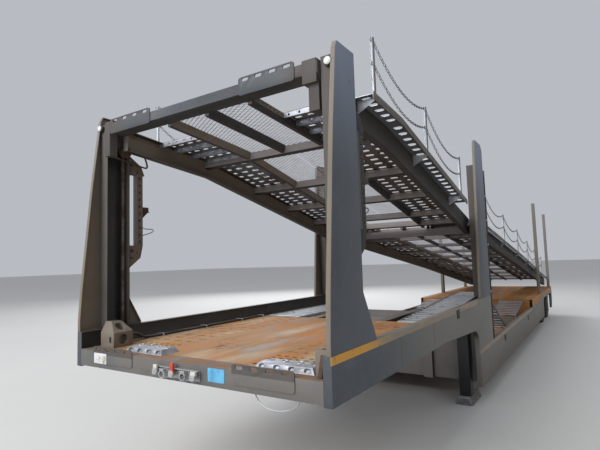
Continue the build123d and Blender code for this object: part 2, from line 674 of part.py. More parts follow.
# Rim section columns: outer radius, inner radius, start and end across the trailer
RIM_SECTION = [
    (RIM_R, RIM_R - RIM_WALL, TYRE_MIDDLE - TWIN_SPACING - 100, TYRE_MIDDLE + 100),
    (RIM_R - RIM_WALL, SPINDLE_R + RUNNING_GAP, DISC_MIDDLE - DISC_WALL, DISC_MIDDLE + DISC_WALL),
    (HUB_R, SPINDLE_R + RUNNING_GAP, HUB_INNER, SPINDLE_END),
    (DRUM_R, HUB_R, HUB_INNER, DISC_MIDDLE - DISC_WALL - 60),
    (HUB_CAP_R, 0, SPINDLE_END + HUB_GAP, HUB_CAP_END),
    (HUB_CAP_R, SPINDLE_R + RUNNING_GAP, SPINDLE_END, SPINDLE_END + HUB_GAP),
]
for number, a in enumerate(AXLE_AFTS, start=1):
    for side, side_name in ((1, "left"), (-1, "right")):
        axis = Plane(origin=(aft(a), 0, TYRE_R), x_dir=(1, 0, 0), z_dir=(0, side, 0))
        with BuildPart() as tyres:
            for middle in (TYRE_MIDDLE, TYRE_MIDDLE - TWIN_SPACING):
                with BuildSketch(Plane(axis.origin, x_dir=(0, side, 0), z_dir=(1, 0, 0))):
                    Polygon(*[(middle + across, r * side) for across, r in TYRE_SECTION], align=None)
                revolve(axis=Axis(axis.origin, (0, side, 0)))
        keep(tyres, f"tyres_{number}_{side_name}")
        with BuildPart() as rims:
            for outer, inner, start, end in RIM_SECTION:
                with BuildSketch(axis.offset(start)):
                    Circle(outer)
                    if inner:
                        Circle(inner, mode=Mode.SUBTRACT)
                extrude(amount=end - start)
            with BuildSketch(axis.offset(DISC_MIDDLE - DISC_WALL)):
                with PolarLocations(HAND_HOLE_PITCH_R, HAND_HOLES):
                    Circle(HAND_HOLE_R)
            extrude(amount=2 * DISC_WALL, mode=Mode.SUBTRACT)
        keep(rims, f"rims_{number}_{side_name}")

# Landing legs with their slotted feet
LEG_TOP = 1000
LEG_WALL = 8
FOOT_WALL = 6
FOOT_START = 3720
FOOT_TOP_WIDTH = 150
FOOT_SLOTS = 4
FOOT_SLOT = (64, 24)
LEG_BRACKET = (500, 900)
with BuildPart() as landing_legs:
    with BuildSketch(Plane.XY.offset(FOOT_HEIGHT)):
        with Locations((aft(LEG_AFT), LEG_SIDE)):
            Rectangle(LEG_TUBE, LEG_TUBE)
            Rectangle(LEG_TUBE - 2 * LEG_WALL, LEG_TUBE - 2 * LEG_WALL, mode=Mode.SUBTRACT)
    extrude(amount=LEG_TOP - FOOT_HEIGHT)
    block(
        aft(WELL_START - PANEL_PLATE), aft(LEG_AFT + LEG_TUBE / 2), LEG_SIDE - LEG_TUBE / 2, LEG_SIDE + LEG_TUBE / 2,
        *LEG_BRACKET,
    )
    mirror(about=Plane.XZ)
keep(landing_legs, "landing_legs")

# Half widths at the ground and at the top of the foot's outside, and of its hollow
foot_flare = (FOOT_WIDTH - FOOT_TOP_WIDTH) / 2 / FOOT_HEIGHT
foot_side = FOOT_WALL * hypot(1, foot_flare)
foot_outside = (FOOT_WIDTH / 2, FOOT_TOP_WIDTH / 2, FOOT_HEIGHT)
foot_hollow = (
    FOOT_WIDTH / 2 - foot_side, FOOT_TOP_WIDTH / 2 + foot_flare * FOOT_WALL - foot_side, FOOT_HEIGHT - FOOT_WALL,
)
with BuildPart() as landing_feet:
    for (low, high, tall), inset, mode in ((foot_outside, 0, Mode.ADD), (foot_hollow, FOOT_WALL, Mode.SUBTRACT)):
        with BuildSketch(Plane.YZ.offset(aft(FOOT_START + FOOT_LENGTH - inset))):
            with Locations((LEG_SIDE, 0)):
                Polygon((-low, 0), (low, 0), (high, tall), (-high, tall), align=None)
        extrude(amount=FOOT_LENGTH - 2 * inset, mode=mode)
    with BuildSketch(side_plane(LEG_SIDE + FOOT_WIDTH)):
        with Locations((aft(FOOT_START + FOOT_LENGTH / 2), FOOT_HEIGHT / 2)):
            with GridLocations(FOOT_LENGTH / FOOT_SLOTS, 1, FOOT_SLOTS, 1):
                SlotOverall(*FOOT_SLOT, rotation=90)
    extrude(amount=2 * FOOT_WIDTH, mode=Mode.SUBTRACT)
    mirror(about=Plane.XZ)
keep(landing_feet, "landing_feet")

# Front posts. Columns: distance aft, height
POST_FOOT = NECK_TOP
FRONT_POST_BACK = 460
front_post_corners = [
    (0, POST_FOOT), (0, 1400), (20, 1680), (116, 2640), (190, 3230), (215, FRONT_POST_TOP),
    (FRONT_POST_BACK, FRONT_POST_TOP), (FRONT_POST_BACK, 1650), (640, 1330), (640, POST_FOOT),
]
with BuildPart() as front_posts:
    rimmed_plate(HALF, [(aft(d), z) for d, z in front_post_corners], POST_PLATE, POST_RIM, POST_PLATE)
    mirror(about=Plane.XZ)
keep(front_posts, "front_posts")

second_post_corners = [
    (SECOND_POST_START, POST_FOOT), (SECOND_POST_TOP_START, SECOND_POST_TOP - 60),
    (SECOND_POST_TOP_START + 40, SECOND_POST_TOP), (SECOND_POST_END - 90, SECOND_POST_TOP),
    (SECOND_POST_END, SECOND_POST_TOP - 70), (SECOND_POST_END, POST_FOOT),
]
with BuildPart() as second_posts:
    rimmed_plate(HALF, [(aft(d), z) for d, z in second_post_corners], POST_PLATE, POST_RIM, POST_PLATE)
    mirror(about=Plane.XZ)
keep(second_posts, "second_posts")

# Guides inside the posts: channels that open inwards at the front posts and outwards behind
GUIDE_FOOT = POST_FOOT + POST_PLATE
GUIDE_OUTER = HALF - POST_PLATE
FRONT_GUIDE_TOP = 3200
GUIDE_INNER = GUIDE_OUTER - GUIDE_DEPTH
with BuildPart() as front_guides:
    with BuildSketch(Plane.XY.offset(GUIDE_FOOT)):
        with Locations(((aft(FRONT_GUIDE_START) + aft(FRONT_GUIDE_END)) / 2, GUIDE_OUTER - GUIDE_DEPTH / 2)):
            Rectangle(FRONT_GUIDE_END - FRONT_GUIDE_START, GUIDE_DEPTH)
        with Locations(
            ((aft(FRONT_GUIDE_START) + aft(FRONT_GUIDE_END)) / 2, GUIDE_OUTER - GUIDE_WALL - GUIDE_DEPTH / 2)
        ):
            Rectangle(FRONT_GUIDE_END - FRONT_GUIDE_START - 2 * GUIDE_WALL, GUIDE_DEPTH, mode=Mode.SUBTRACT)
    extrude(amount=FRONT_GUIDE_TOP - GUIDE_FOOT)
    mirror(about=Plane.XZ)
keep(front_guides, "front_guides")

# Pivots of the upper decks, half way down their side beams
front_pivot = (FRONT_PIVOT_AFT, height(FRONT_STATIONS, FRONT_PIVOT_AFT) - BEAM_DEPTH / 2)
rear_pivot = (REAR_PIVOT_AFT, height(REAR_STATIONS, REAR_PIVOT_AFT) - BEAM_DEPTH / 2)
SECOND_GUIDE_INNER = 1140
SECOND_GUIDE_TOP = 3120
# Columns: name, half of its length along the trailer, foot, pivot
SECOND_GUIDES = [
    ("second_guides", 85, GUIDE_FOOT, front_pivot),
    ("rear_guides", 68, WELL_TOP, rear_pivot),
]
for name, half_length, foot, pivot in SECOND_GUIDES:
    start, end = pivot[0] - half_length, pivot[0] + half_length
    with BuildPart() as guides:
        with BuildSketch(Plane.XY.offset(foot)):
            with Locations(((aft(start) + aft(end)) / 2, (SECOND_GUIDE_INNER + GUIDE_OUTER) / 2)):
                Rectangle(end - start, GUIDE_OUTER - SECOND_GUIDE_INNER)
            with Locations(((aft(start) + aft(end)) / 2, (SECOND_GUIDE_INNER + GUIDE_OUTER) / 2 + GUIDE_WALL)):
                Rectangle(end - start - 2 * GUIDE_WALL, GUIDE_OUTER - SECOND_GUIDE_INNER, mode=Mode.SUBTRACT)
        extrude(amount=SECOND_GUIDE_TOP - foot)
        with BuildSketch(side_plane(SECOND_GUIDE_INNER + GUIDE_WALL)):
            with Locations((aft(pivot[0]), pivot[1])):
                Circle(PIVOT_R + RUNNING_GAP)
        extrude(amount=GUIDE_WALL, mode=Mode.SUBTRACT)
        mirror(about=Plane.XZ)
    keep(guides, name)

# Slim posts beside the rear upper deck. Columns: name, distance aft, foot, top, length along the trailer
SLIM_INNER = GUIDE_OUTER - SLIM_POST_DEPTH
SLIM_POSTS = [
    ("third_posts", THIRD_POST_AFT, AXLE_DECK, THIRD_POST_TOP, THIRD_POST),
    ("rear_posts", REAR_POST_AFT, AXLE_DECK, REAR_POST_TOP, REAR_POST),
]
for name, d, foot, top, length in SLIM_POSTS:
    with BuildPart() as slim_posts:
        with BuildSketch(Plane.XY.offset(foot)):
            with Locations((aft(d), GUIDE_OUTER - SLIM_POST_DEPTH / 2)):
                Rectangle(length, SLIM_POST_DEPTH)
            with Locations((aft(d), GUIDE_OUTER - SLIM_POST_DEPTH / 2 - GUIDE_WALL)):
                Rectangle(length - 2 * GUIDE_WALL, SLIM_POST_DEPTH, mode=Mode.SUBTRACT)
        extrude(amount=top - foot)
        mirror(about=Plane.XZ)
    keep(slim_posts, name)

# Carriages in the front guides: a nut on each lifting screw and a slotted plate for the deck's pin
PIN_AFT = 345
PIN_DROP = 100
pin_z = height(FRONT_STATIONS, PIN_AFT) - PIN_DROP
pin_run = FRONT_PIVOT_AFT - PIN_AFT
pin_drift = hypot(pin_run, pin_z - front_pivot[1]) - pin_run
SCREW_AFT = 402
SCREW_Y = GUIDE_OUTER - GUIDE_WALL - GUIDE_DEPTH / 2 + 2
CARRIAGE_GAP = 8
CARRIAGE_START = FRONT_GUIDE_START + GUIDE_WALL + CARRIAGE_GAP
CARRIAGE_END = FRONT_GUIDE_END - GUIDE_WALL - CARRIAGE_GAP
CARRIAGE_HALF = 80
NUT_HALF = 36
NUT_START = SCREW_AFT - (CARRIAGE_END - SCREW_AFT)
SLOT_PLATE = 18
SLOT_PLATE_Y = GUIDE_INNER + 32
with BuildPart() as front_carriages:
    block(
        aft(CARRIAGE_END), aft(NUT_START), SCREW_Y - NUT_HALF, SCREW_Y + NUT_HALF,
        pin_z - CARRIAGE_HALF, pin_z + CARRIAGE_HALF,
    )
    block(
        aft(NUT_START), aft(CARRIAGE_START), SLOT_PLATE_Y - SLOT_PLATE, SLOT_PLATE_Y,
        pin_z - CARRIAGE_HALF, pin_z + CARRIAGE_HALF,
    )
    with BuildSketch(Plane.XY.offset(pin_z - CARRIAGE_HALF)):
        with Locations((aft(SCREW_AFT), SCREW_Y)):
            Circle(SCREW_R + 2 * RUNNING_GAP)
    extrude(amount=2 * CARRIAGE_HALF, mode=Mode.SUBTRACT)
    with BuildSketch(side_plane(SLOT_PLATE_Y)):
        with Locations((aft(PIN_AFT - pin_drift / 2), pin_z)):
            Rectangle(pin_drift + 2 * PIN_R + 2 * SLOT_GAP, 2 * PIN_R + 2 * SLOT_GAP)
    extrude(amount=SLOT_PLATE, mode=Mode.SUBTRACT)
    mirror(about=Plane.XZ)
keep(front_carriages, "front_carriages")

with BuildPart() as lift_screws:
    with BuildSketch(Plane.XY.offset(GUIDE_FOOT)):
        with Locations((aft(SCREW_AFT), SCREW_Y), (aft(SCREW_AFT), -SCREW_Y)):
            Circle(SCREW_R)
    extrude(amount=FRONT_GUIDE_TOP - GUIDE_FOOT)
keep(lift_screws, "lift_screws")

# Struts behind the front posts: a perforated upright between two gussets
STRUT_Y = GUIDE_INNER + 30
STRUT_THICKNESS = 60
STRUT_START = 550
STRUT_END = 617
STRUT_FOOT = 2070
STRUT_TOP = 2770
STRUT_HOLE_R = 14
STRUT_HOLES = 10
# Corners of the gussets: distance aft, height
upper_gusset = [
    (FRONT_POST_BACK, STRUT_TOP), (FRONT_POST_BACK, STRUT_TOP + 180), (600, STRUT_TOP + 90), (640, STRUT_TOP),
]
lower_gusset = [
    (FRONT_POST_BACK, STRUT_FOOT - 220), (FRONT_POST_BACK, STRUT_FOOT), (STRUT_END, STRUT_FOOT),
    (590, STRUT_FOOT - 120),
]
with BuildPart() as post_struts:
    strut = [(STRUT_START, STRUT_FOOT), (STRUT_START, STRUT_TOP), (STRUT_END, STRUT_TOP), (STRUT_END, STRUT_FOOT)]
    for corners in (strut, upper_gusset, lower_gusset):
        side_prism(STRUT_Y + STRUT_THICKNESS, [(aft(d), z) for d, z in corners], STRUT_THICKNESS)
    with BuildSketch(side_plane(STRUT_Y + STRUT_THICKNESS)):
        with Locations((aft((STRUT_START + STRUT_END) / 2), (STRUT_FOOT + STRUT_TOP) / 2)):
            with GridLocations(1, (STRUT_TOP - STRUT_FOOT) / STRUT_HOLES, 1, STRUT_HOLES):
                Circle(STRUT_HOLE_R)
    extrude(amount=STRUT_THICKNESS, mode=Mode.SUBTRACT)
    mirror(about=Plane.XZ)
keep(post_struts, "post_struts")

# Box with a sloped upper side at the right front post's foot, and an upright plate at the left one's
BASE_BOX_START = 140
BASE_BOX_END = 335
BASE_BOX_INNER = 960
BASE_BOX_OUTER = 1145
BASE_BOX_FOLD = 1295
BASE_BOX_TOP = 1385
BASE_BOX_TOP_INNER = 1062
BASE_BOX_TAPER = 50
BASE_HOLE_R = 42
BASE_HOLE_DEPTH = 45
BASE_SLOT = (56, 28)
BASE_SLOT_INSET = 50
# Hole in the box's rear face where the hoses come out
HOSE_HOLE_R = 34
HOSE_HOLE_Y = -1090
HOSE_HOLE_Z = NECK_DECK + 80
HOSE_HOLE_DEPTH = 60
BASE_PLATE_START = 90
BASE_PLATE_LENGTH = 14
BASE_PLATE_TOP = 1330
box_middle = aft((BASE_BOX_START + BASE_BOX_END) / 2)
side_middle = (NECK_DECK + BASE_BOX_FOLD) / 2
slope_run = Vector(0, BASE_BOX_TOP_INNER - BASE_BOX_INNER, BASE_BOX_TOP - BASE_BOX_FOLD)
# Middle of each hole, and the way that its face looks
box_holes = [
    ((box_middle, -BASE_BOX_INNER, side_middle), (0, 1, 0)),
    (
        (box_middle, -(BASE_BOX_INNER + BASE_BOX_TOP_INNER) / 2, (BASE_BOX_FOLD + BASE_BOX_TOP) / 2),
        (0, slope_run.Z, slope_run.Y),
    ),
]
with BuildPart() as post_boxes:
    with BuildSketch(Plane.YZ.offset(aft(BASE_BOX_END))):
        Polygon(
            (-BASE_BOX_OUTER, NECK_DECK), (-BASE_BOX_INNER, NECK_DECK), (-BASE_BOX_INNER, BASE_BOX_FOLD),
            (-BASE_BOX_TOP_INNER, BASE_BOX_TOP), (-BASE_BOX_OUTER, BASE_BOX_TOP), align=None,
        )
    extrude(amount=BASE_BOX_END - BASE_BOX_START)
    with BuildSketch(side_plane(-BASE_BOX_INNER)):
        Polygon(
            (aft(BASE_BOX_START), NECK_DECK), (aft(BASE_BOX_START), BASE_BOX_FOLD),
            (aft(BASE_BOX_START + BASE_BOX_TAPER), BASE_BOX_TOP), (aft(BASE_BOX_END - BASE_BOX_TAPER), BASE_BOX_TOP),
            (aft(BASE_BOX_END), BASE_BOX_FOLD), (aft(BASE_BOX_END), NECK_DECK), align=None,
        )
    extrude(amount=BASE_BOX_OUTER - BASE_BOX_INNER, mode=Mode.INTERSECT)
    for middle, way in box_holes:
        with BuildSketch(Plane(middle, x_dir=(1, 0, 0), z_dir=way)):
            Circle(BASE_HOLE_R)
        extrude(amount=-BASE_HOLE_DEPTH, mode=Mode.SUBTRACT)
    with BuildSketch(Plane.YZ.offset(aft(BASE_BOX_START))):
        with Locations((-BASE_BOX_INNER - BASE_SLOT_INSET, side_middle)):
            SlotOverall(*BASE_SLOT, rotation=90)
    extrude(amount=-BASE_HOLE_DEPTH, mode=Mode.SUBTRACT)
    with BuildSketch(Plane.YZ.offset(aft(BASE_BOX_END))):
        with Locations((HOSE_HOLE_Y, HOSE_HOLE_Z)):
            Circle(HOSE_HOLE_R)
    extrude(amount=HOSE_HOLE_DEPTH, mode=Mode.SUBTRACT)
    block(
        aft(BASE_PLATE_START + BASE_PLATE_LENGTH), aft(BASE_PLATE_START), TRACK_OUTER + SIDE_GAP, NOSE_HALF,
        NECK_DECK, BASE_PLATE_TOP,
    )
keep(post_boxes, "post_boxes")

# Fixed bridge between the two upper decks
BRIDGE_BEAM = (4400, 4520)
BRIDGE_TOP = 2390
BRIDGE_RISE = 100
# Room for the decks' ends to swing past the bridge
BRIDGE_FRONT_GAP = 15
BRIDGE_REAR_GAP = 25
TRACK_START_Y = 470
with BuildPart() as bridge:
    block(
        aft(BRIDGE_BEAM[1]), aft(BRIDGE_BEAM[0]), -GUIDE_OUTER, GUIDE_OUTER,
        BRIDGE_TOP - BEAM_DEPTH, BRIDGE_TOP - BRIDGE_RISE,
    )
    for side in (1, -1):
        y0, y1 = sorted((side * TRACK_START_Y, side * UPPER_BEAM_OUTER))
        block(
            aft(REAR_PIVOT_AFT - DECK_END - BRIDGE_REAR_GAP), aft(FRONT_PIVOT_AFT + DECK_END + BRIDGE_FRONT_GAP),
            y0, y1,
            BRIDGE_TOP - TRACK_SHEET, BRIDGE_TOP,
        )
        for y in (y0, y1 - GUIDE_WALL):
            block(
                aft(BRIDGE_BEAM[1]), aft(BRIDGE_BEAM[0]), y, y + GUIDE_WALL,
                BRIDGE_TOP - BRIDGE_RISE, BRIDGE_TOP - TRACK_SHEET,
            )
keep(bridge, "bridge")


def deck_frame(line, rails, depth, cross_afts):
    """Side beams, rails and cross members below a deck line. A rail is (y, start, end)."""
    corners = band(line, BEAM_DEPTH, TRACK_SHEET)
    rimmed_plate(UPPER_BEAM_OUTER, corners, UPPER_BEAM_WEB, UPPER_BEAM_FLANGE, UPPER_BEAM_WEB)
    mirror(about=Plane.XZ)
    for y, start, end in rails:
        side_prism(y + STRINGER_WIDTH / 2, band(part_line(line, start, end), depth, TRACK_SHEET), STRINGER_WIDTH)
    with BuildSketch(side_plane(UPPER_BEAM_OUTER - UPPER_BEAM_WEB)) as members:
        for d in cross_afts:
            with Locations((aft(d), height(line, d) - TRACK_SHEET - depth / 2 - CROSS_DROP)):
                Rectangle(CROSS_WIDTH, depth, rotation=slope_degrees(line, d))
    extrude(members.sketch, amount=2 * (UPPER_BEAM_OUTER - UPPER_BEAM_WEB))


def pivot_pins(pivot):
    """Pins on which a deck turns in its guides."""
    with BuildSketch(side_plane(SECOND_GUIDE_INNER + 2 * GUIDE_WALL)) as pin:
        with Locations((aft(pivot[0]), pivot[1])):
            Circle(PIVOT_R)
    extrude(pin.sketch, amount=SECOND_GUIDE_INNER + 2 * GUIDE_WALL - UPPER_BEAM_OUTER)
    mirror(about=Plane.XZ)


def deck_sheets(line, spans, sheet, pitch, columns, hole, drop=TRACK_SHEET):
    """Sheets that lie on what is drop below a deck line, with rows of holes. Spans are (y0, y1) pairs.

    A hole is its size along and across the deck, and one that is longer across has round ends.
    """
    lowered = [(d, z - drop) for d, z in line]
    for front, rear in zip(lowered, lowered[1:]):
        length = hypot(rear[0] - front[0], rear[1] - front[1])
        rows = int((length - pitch) // pitch) + 1
        lap = sheet / 2
        with BuildSketch(slope_plane(front, rear)) as face:
            for y0, y1 in spans:
                with Locations((length / 2, (y0 + y1) / 2)):
                    Rectangle(length + (lap if len(line) > 2 else 0), y1 - y0)
                    with GridLocations(pitch, (y1 - y0) / columns, rows, columns):
                        if hole[1] > hole[0]:
                            SlotOverall(hole[1], hole[0], rotation=90, mode=Mode.SUBTRACT)
                        else:
                            Rectangle(*hole, mode=Mode.SUBTRACT)
        extrude(face.sketch, amount=sheet)


CROSS_DROP = 8
FRONT_CROSS_DEPTH = 80
FRONT_CROSS_AFTS = (1430, 2300, 3050, 3760, 4180)
REAR_CROSS_MEMBER_DEPTH = 50
REAR_CROSS_COUNT = 11
REAR_CROSS_START = 4800
REAR_CROSS_PITCH = 870
FRONT_DECK_START, FRONT_DECK_END = FRONT_STATIONS[0][0], FRONT_STATIONS[-1][0]
REAR_DECK_START, REAR_DECK_END = REAR_STATIONS[0][0], REAR_STATIONS[-1][0]
# Columns: y, start, end
FRONT_RAILS = [
    (STRINGER_Y, FRONT_DECK_START, FRONT_DECK_END),
    (-STRINGER_Y, FRONT_DECK_START, FRONT_DECK_END),
    (0, FRONT_DECK_START, FRONT_CROSS_AFTS[0]),
]
REAR_RAILS = [(y, REAR_DECK_START, REAR_DECK_END) for y in (STRINGER_Y, 0, -STRINGER_Y)]
TRACK_SPANS = [(TRACK_START_Y, UPPER_BEAM_OUTER), (-UPPER_BEAM_OUTER, -TRACK_START_Y)]
MESH_SPANS = [(10, 440), (-440, -10)]
MESH_SHEET = 4

with BuildPart() as front_deck_frame:
    deck_frame(FRONT_STATIONS, FRONT_RAILS, FRONT_CROSS_DEPTH, FRONT_CROSS_AFTS)
    pivot_pins(front_pivot)
keep(front_deck_frame, "front_deck_frame")

with BuildPart() as rear_deck_frame:
    rear_cross_afts = [REAR_CROSS_START + i * REAR_CROSS_PITCH for i in range(REAR_CROSS_COUNT)]
    deck_frame(REAR_STATIONS, REAR_RAILS, REAR_CROSS_MEMBER_DEPTH, rear_cross_afts)
    pivot_pins(rear_pivot)
keep(rear_deck_frame, "rear_deck_frame")

# Track and mesh sheets. Columns: name, line, start, end, spans, sheet, pitch, columns, hole
DECK_TRACKS = [
    (
        "front_deck_tracks", FRONT_STATIONS, PLANK_END, FRONT_DECK_END - DECK_END / 2,
        TRACK_SPANS, TRACK_SHEET, 110, 4, (40, 90),
    ),
    ("front_deck_mesh", FRONT_STATIONS, 340, 3750, MESH_SPANS, MESH_SHEET, 110, 6, (70, 50)),
    (
        "rear_deck_tracks", REAR_STATIONS, REAR_DECK_START + DECK_END / 2, REAR_DECK_END,
        TRACK_SPANS, TRACK_SHEET, 220, 4, (60, 90),
    ),
    ("rear_deck_mesh", REAR_STATIONS, 5500, 13850, MESH_SPANS, MESH_SHEET, 220, 6, (150, 50)),
]
# Planks across the front of the front deck's tracks
PLANK_GAP = 24
PLANK_COUNT = 3
PLANK_PITCH = (PLANK_END - PLANK_START) / PLANK_COUNT
PLANK_HOLE = (26, 70)
PLANK_HOLE_COLUMNS = 5
for name, stations, start, end, spans, sheet, pitch, columns, hole in DECK_TRACKS:
    with BuildPart() as sheets:
        deck_sheets(part_line(stations, start, end), spans, sheet, pitch, columns, hole)
        if name == "front_deck_tracks":
            for i in range(PLANK_COUNT):
                first = PLANK_START + i * PLANK_PITCH
                line = part_line(stations, first, first + PLANK_PITCH - PLANK_GAP)
                deck_sheets(line, spans, sheet, PLANK_PITCH / 3, PLANK_HOLE_COLUMNS, PLANK_HOLE)
    keep(sheets, name)

# Front beam of the upper deck with its stop plates and the brackets that carry the pins
FRONT_BEAM_HALF = 1124
PIN_BRACKET_WALL = 24
PIN_BRACKET_END = 420
PIN_BRACKET_FOOT_START = 300
PIN_BRACKET_FOOT = pin_z - 70
PIN_BRACKET_CORNER = 30
PIN_END_Y = SLOT_PLATE_Y + 8
# Fittings at the ends of the front beam. Columns: start, end, inner y, outer y, foot, top
BEAM_FITTINGS = [
    (170, FRONT_DECK_START, 1030, 1140, 3030, 3190),
    (200, 330, 1060, 1140, 2850, 3030),
    (170, 250, -1140, -1070, 2880, 3200),
]
with BuildPart() as front_deck_nose:
    block(
        aft(FRONT_BEAM_AFT + FRONT_BEAM_DEPTH), aft(FRONT_BEAM_AFT), -FRONT_BEAM_HALF, FRONT_BEAM_HALF,
        FRONT_BEAM_TOP - FRONT_BEAM_HEIGHT, FRONT_BEAM_TOP,
    )
    pin_bracket = [
        (FRONT_BEAM_AFT, FRONT_BEAM_TOP), (PIN_BRACKET_END, FRONT_BEAM_TOP - PIN_BRACKET_CORNER),
        (PIN_BRACKET_END, PIN_BRACKET_FOOT), (PIN_BRACKET_FOOT_START, PIN_BRACKET_FOOT),
        (FRONT_BEAM_AFT, FRONT_BEAM_TOP - FRONT_BEAM_HEIGHT),
    ]
    side_prism(FRONT_BEAM_HALF + PIN_BRACKET_WALL, [(aft(d), z) for d, z in pin_bracket], PIN_BRACKET_WALL)
    with BuildSketch(side_plane(PIN_END_Y)):
        with Locations((aft(PIN_AFT), pin_z)):
            Circle(PIN_R)
    extrude(amount=PIN_END_Y - FRONT_BEAM_HALF)
    mirror(about=Plane.XZ)
    for start, end, y0, y1, foot, top in BEAM_FITTINGS:
        block(aft(end), aft(start), y0, y1, foot, top)
    stop_plates(DECK_STOPS, FRONT_BEAM_AFT, FRONT_BEAM_TOP)
keep(front_deck_nose, "front_deck_nose")

# Walkways outboard of the upper decks: slotted strip, lip, brackets and railing posts, with sagging chains
REAR_WALKWAY_OUTER = SLIM_INNER - SIDE_GAP
WALKWAY_SHEET = 5
WALKWAY_PITCH = 120
WALKWAY_SLOT = 45
LIP_WALL = 5
LIP_RISE = 20
BRACKET = 110
BRACKET_TIP = 20
POST_BITE = 3
CHAIN_HALF = 5
CHAIN_SAG = 130
CHAIN_STEPS = 6
# Columns: name, line, outer edge, start, end, post places, post height
WALKWAYS = [
    ("front", FRONT_STATIONS, WALKWAY_OUTER, 800, 3600, (860, 2100, 3350), 470),
    ("rear", REAR_STATIONS, REAR_WALKWAY_OUTER, 4900, 13700, (5200, 6700, 8300, 9800, 11200, 12600), 500),
]
for name, stations, outer, start, end, places, rise in WALKWAYS:
    line = part_line(stations, start, end)
    spans = [(UPPER_BEAM_OUTER, outer - LIP_WALL)]
    post_y = outer - LIP_WALL - RAILING_TUBE_R + POST_BITE
    with BuildPart() as walkways:
        slot = (WALKWAY_SLOT, (outer - UPPER_BEAM_OUTER) / 2)
        deck_sheets(line, spans, WALKWAY_SHEET, WALKWAY_PITCH, 1, slot)
        side_prism(outer, band(line, WALKWAY_LIP, -LIP_RISE), LIP_WALL)
        for d in places:
            top = height(stations, d) - WALKWAY_SHEET / 2
            tip_y = outer - LIP_WALL / 2
            with BuildSketch(Plane.YZ.offset(aft(d))):
                Polygon(
                    (UPPER_BEAM_OUTER, top), (tip_y, top), (tip_y, top - BRACKET_TIP),
                    (UPPER_BEAM_OUTER, top - BRACKET), align=None,
                )
            extrude(amount=LIP_WALL)
            with BuildSketch(Plane.XY.offset(top)):
                with Locations((aft(d), post_y)):
                    Circle(RAILING_TUBE_R)
            extrude(amount=rise)
        mirror(about=Plane.XZ)
    keep(walkways, f"{name}_walkways")
    with BuildPart() as chains:
        for ahead, behind in zip(places, places[1:]):
            for level in (rise - 20, rise * 0.55):
                z0, z1 = height(stations, ahead) + level, height(stations, behind) + level
                x0, x1 = aft(ahead) - RAILING_TUBE_R, aft(behind) + RAILING_TUBE_R
                points = []
                for i in range(CHAIN_STEPS + 1):
                    share = i / CHAIN_STEPS
                    sag = 4 * CHAIN_SAG * share * (1 - share)
                    points.append((x0 + (x1 - x0) * share, z0 + (z1 - z0) * share - sag))
                lower = [(x, z - 2 * CHAIN_HALF) for x, z in reversed(points)]
                side_prism(post_y + CHAIN_HALF, points + lower, 2 * CHAIN_HALF)
        mirror(about=Plane.XZ)
    keep(chains, f"{name}_chains")

# Couplers for the tractor's lines and blank plates on the nose
COUPLER_ROOT = 40
COUPLER_R = 26
COUPLERS_Y = (-170, -60, 60, 170)
COUPLER_Z = 1095
with BuildPart() as couplers:
    block(NOSE_X, NOSE_X + COUPLER_ROOT, -210, 210, COUPLER_Z - 20, COUPLER_Z + 20)
    with BuildSketch(Plane.YZ.offset(NOSE_X)):
        with Locations(*[(y, COUPLER_Z) for y in COUPLERS_Y]):
            Circle(COUPLER_R)
    extrude(amount=COUPLER_REACH)
keep(couplers, "couplers")

PLATE_WALL = 3
# Columns: what it lies on stands this far out, middle y, middle z, width, height
NOSE_PLATES = [(STOP_WALL, -925, 1128, 168, 52), (0, 375, 1112, 152, 92)]
with BuildPart() as nose_plates:
    for reach, y, z, width, tall in NOSE_PLATES:
        with BuildSketch(Plane.YZ.offset(NOSE_X + reach)):
            with Locations((y, z)):
                Rectangle(width, tall)
        extrude(amount=PLATE_WALL)
keep(nose_plates, "nose_plates")

# Hoses that run from the box at the right front post along the deck's edge to the neck's end
HOSE_R = 11
HOSE_LIE = NECK_DECK + HOSE_R + 2
# Columns: distance aft, y of the first hose, height above where it lies; the second lies a step inwards
HOSE_ROUTE = [
    (BASE_BOX_END - HOSE_HOLE_DEPTH, -1103, HOSE_HOLE_Z - HOSE_LIE), (400, -1103, HOSE_HOLE_Z - HOSE_LIE),
    (480, -1118, 62),
    (580, -1150, 4), (720, -1162, 0), (900, -1150, 0), (1090, -1166, 0), (1300, -1152, 0), (1500, -1168, 0),
    (1720, -1158, 0), (1900, -1170, 0), (2100, -1156, 0), (2290, -1164, 0), (2470, -1158, 0),
]
HOSE_STEP = 2 * HOSE_R + 5
SHORTER_RUN_SHARE = 0.45
hose_length = 0
with BuildPart() as hose_bundle:
    for number in (0, 1):
        points = [Vector(aft(d), y + number * HOSE_STEP, HOSE_LIE + rise) for d, y, rise in HOSE_ROUTE]
        runs = [(b - a).length for a, b in zip(points, points[1:])]
        radii = []
        for before, here, after, run, next_run in zip(points, points[1:], points[2:], runs, runs[1:]):
            turn = radians((here - before).get_angle(after - here))
            radii.append(SHORTER_RUN_SHARE * min(run, next_run) / tan(turn / 2))
        with BuildLine() as route:
            FilletPolyline(*points, radius=radii)
        middle = route.wires()[0]
        with BuildSketch(Plane(middle @ 0, z_dir=middle % 0)):
            Circle(HOSE_R)
        sweep(path=middle)
        hose_length = max(hose_length, middle.length)
    print("hose radii", [round(r) for r in radii], "length", round(hose_length))
keep(hose_bundle, "hose_bundle")
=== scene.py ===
"""The finish of a two-deck car transporter semi-trailer, laid out as an add-on and run as a script."""

import json
import math

import bmesh
import bpy
import numpy
from mathutils import Matrix, Vector


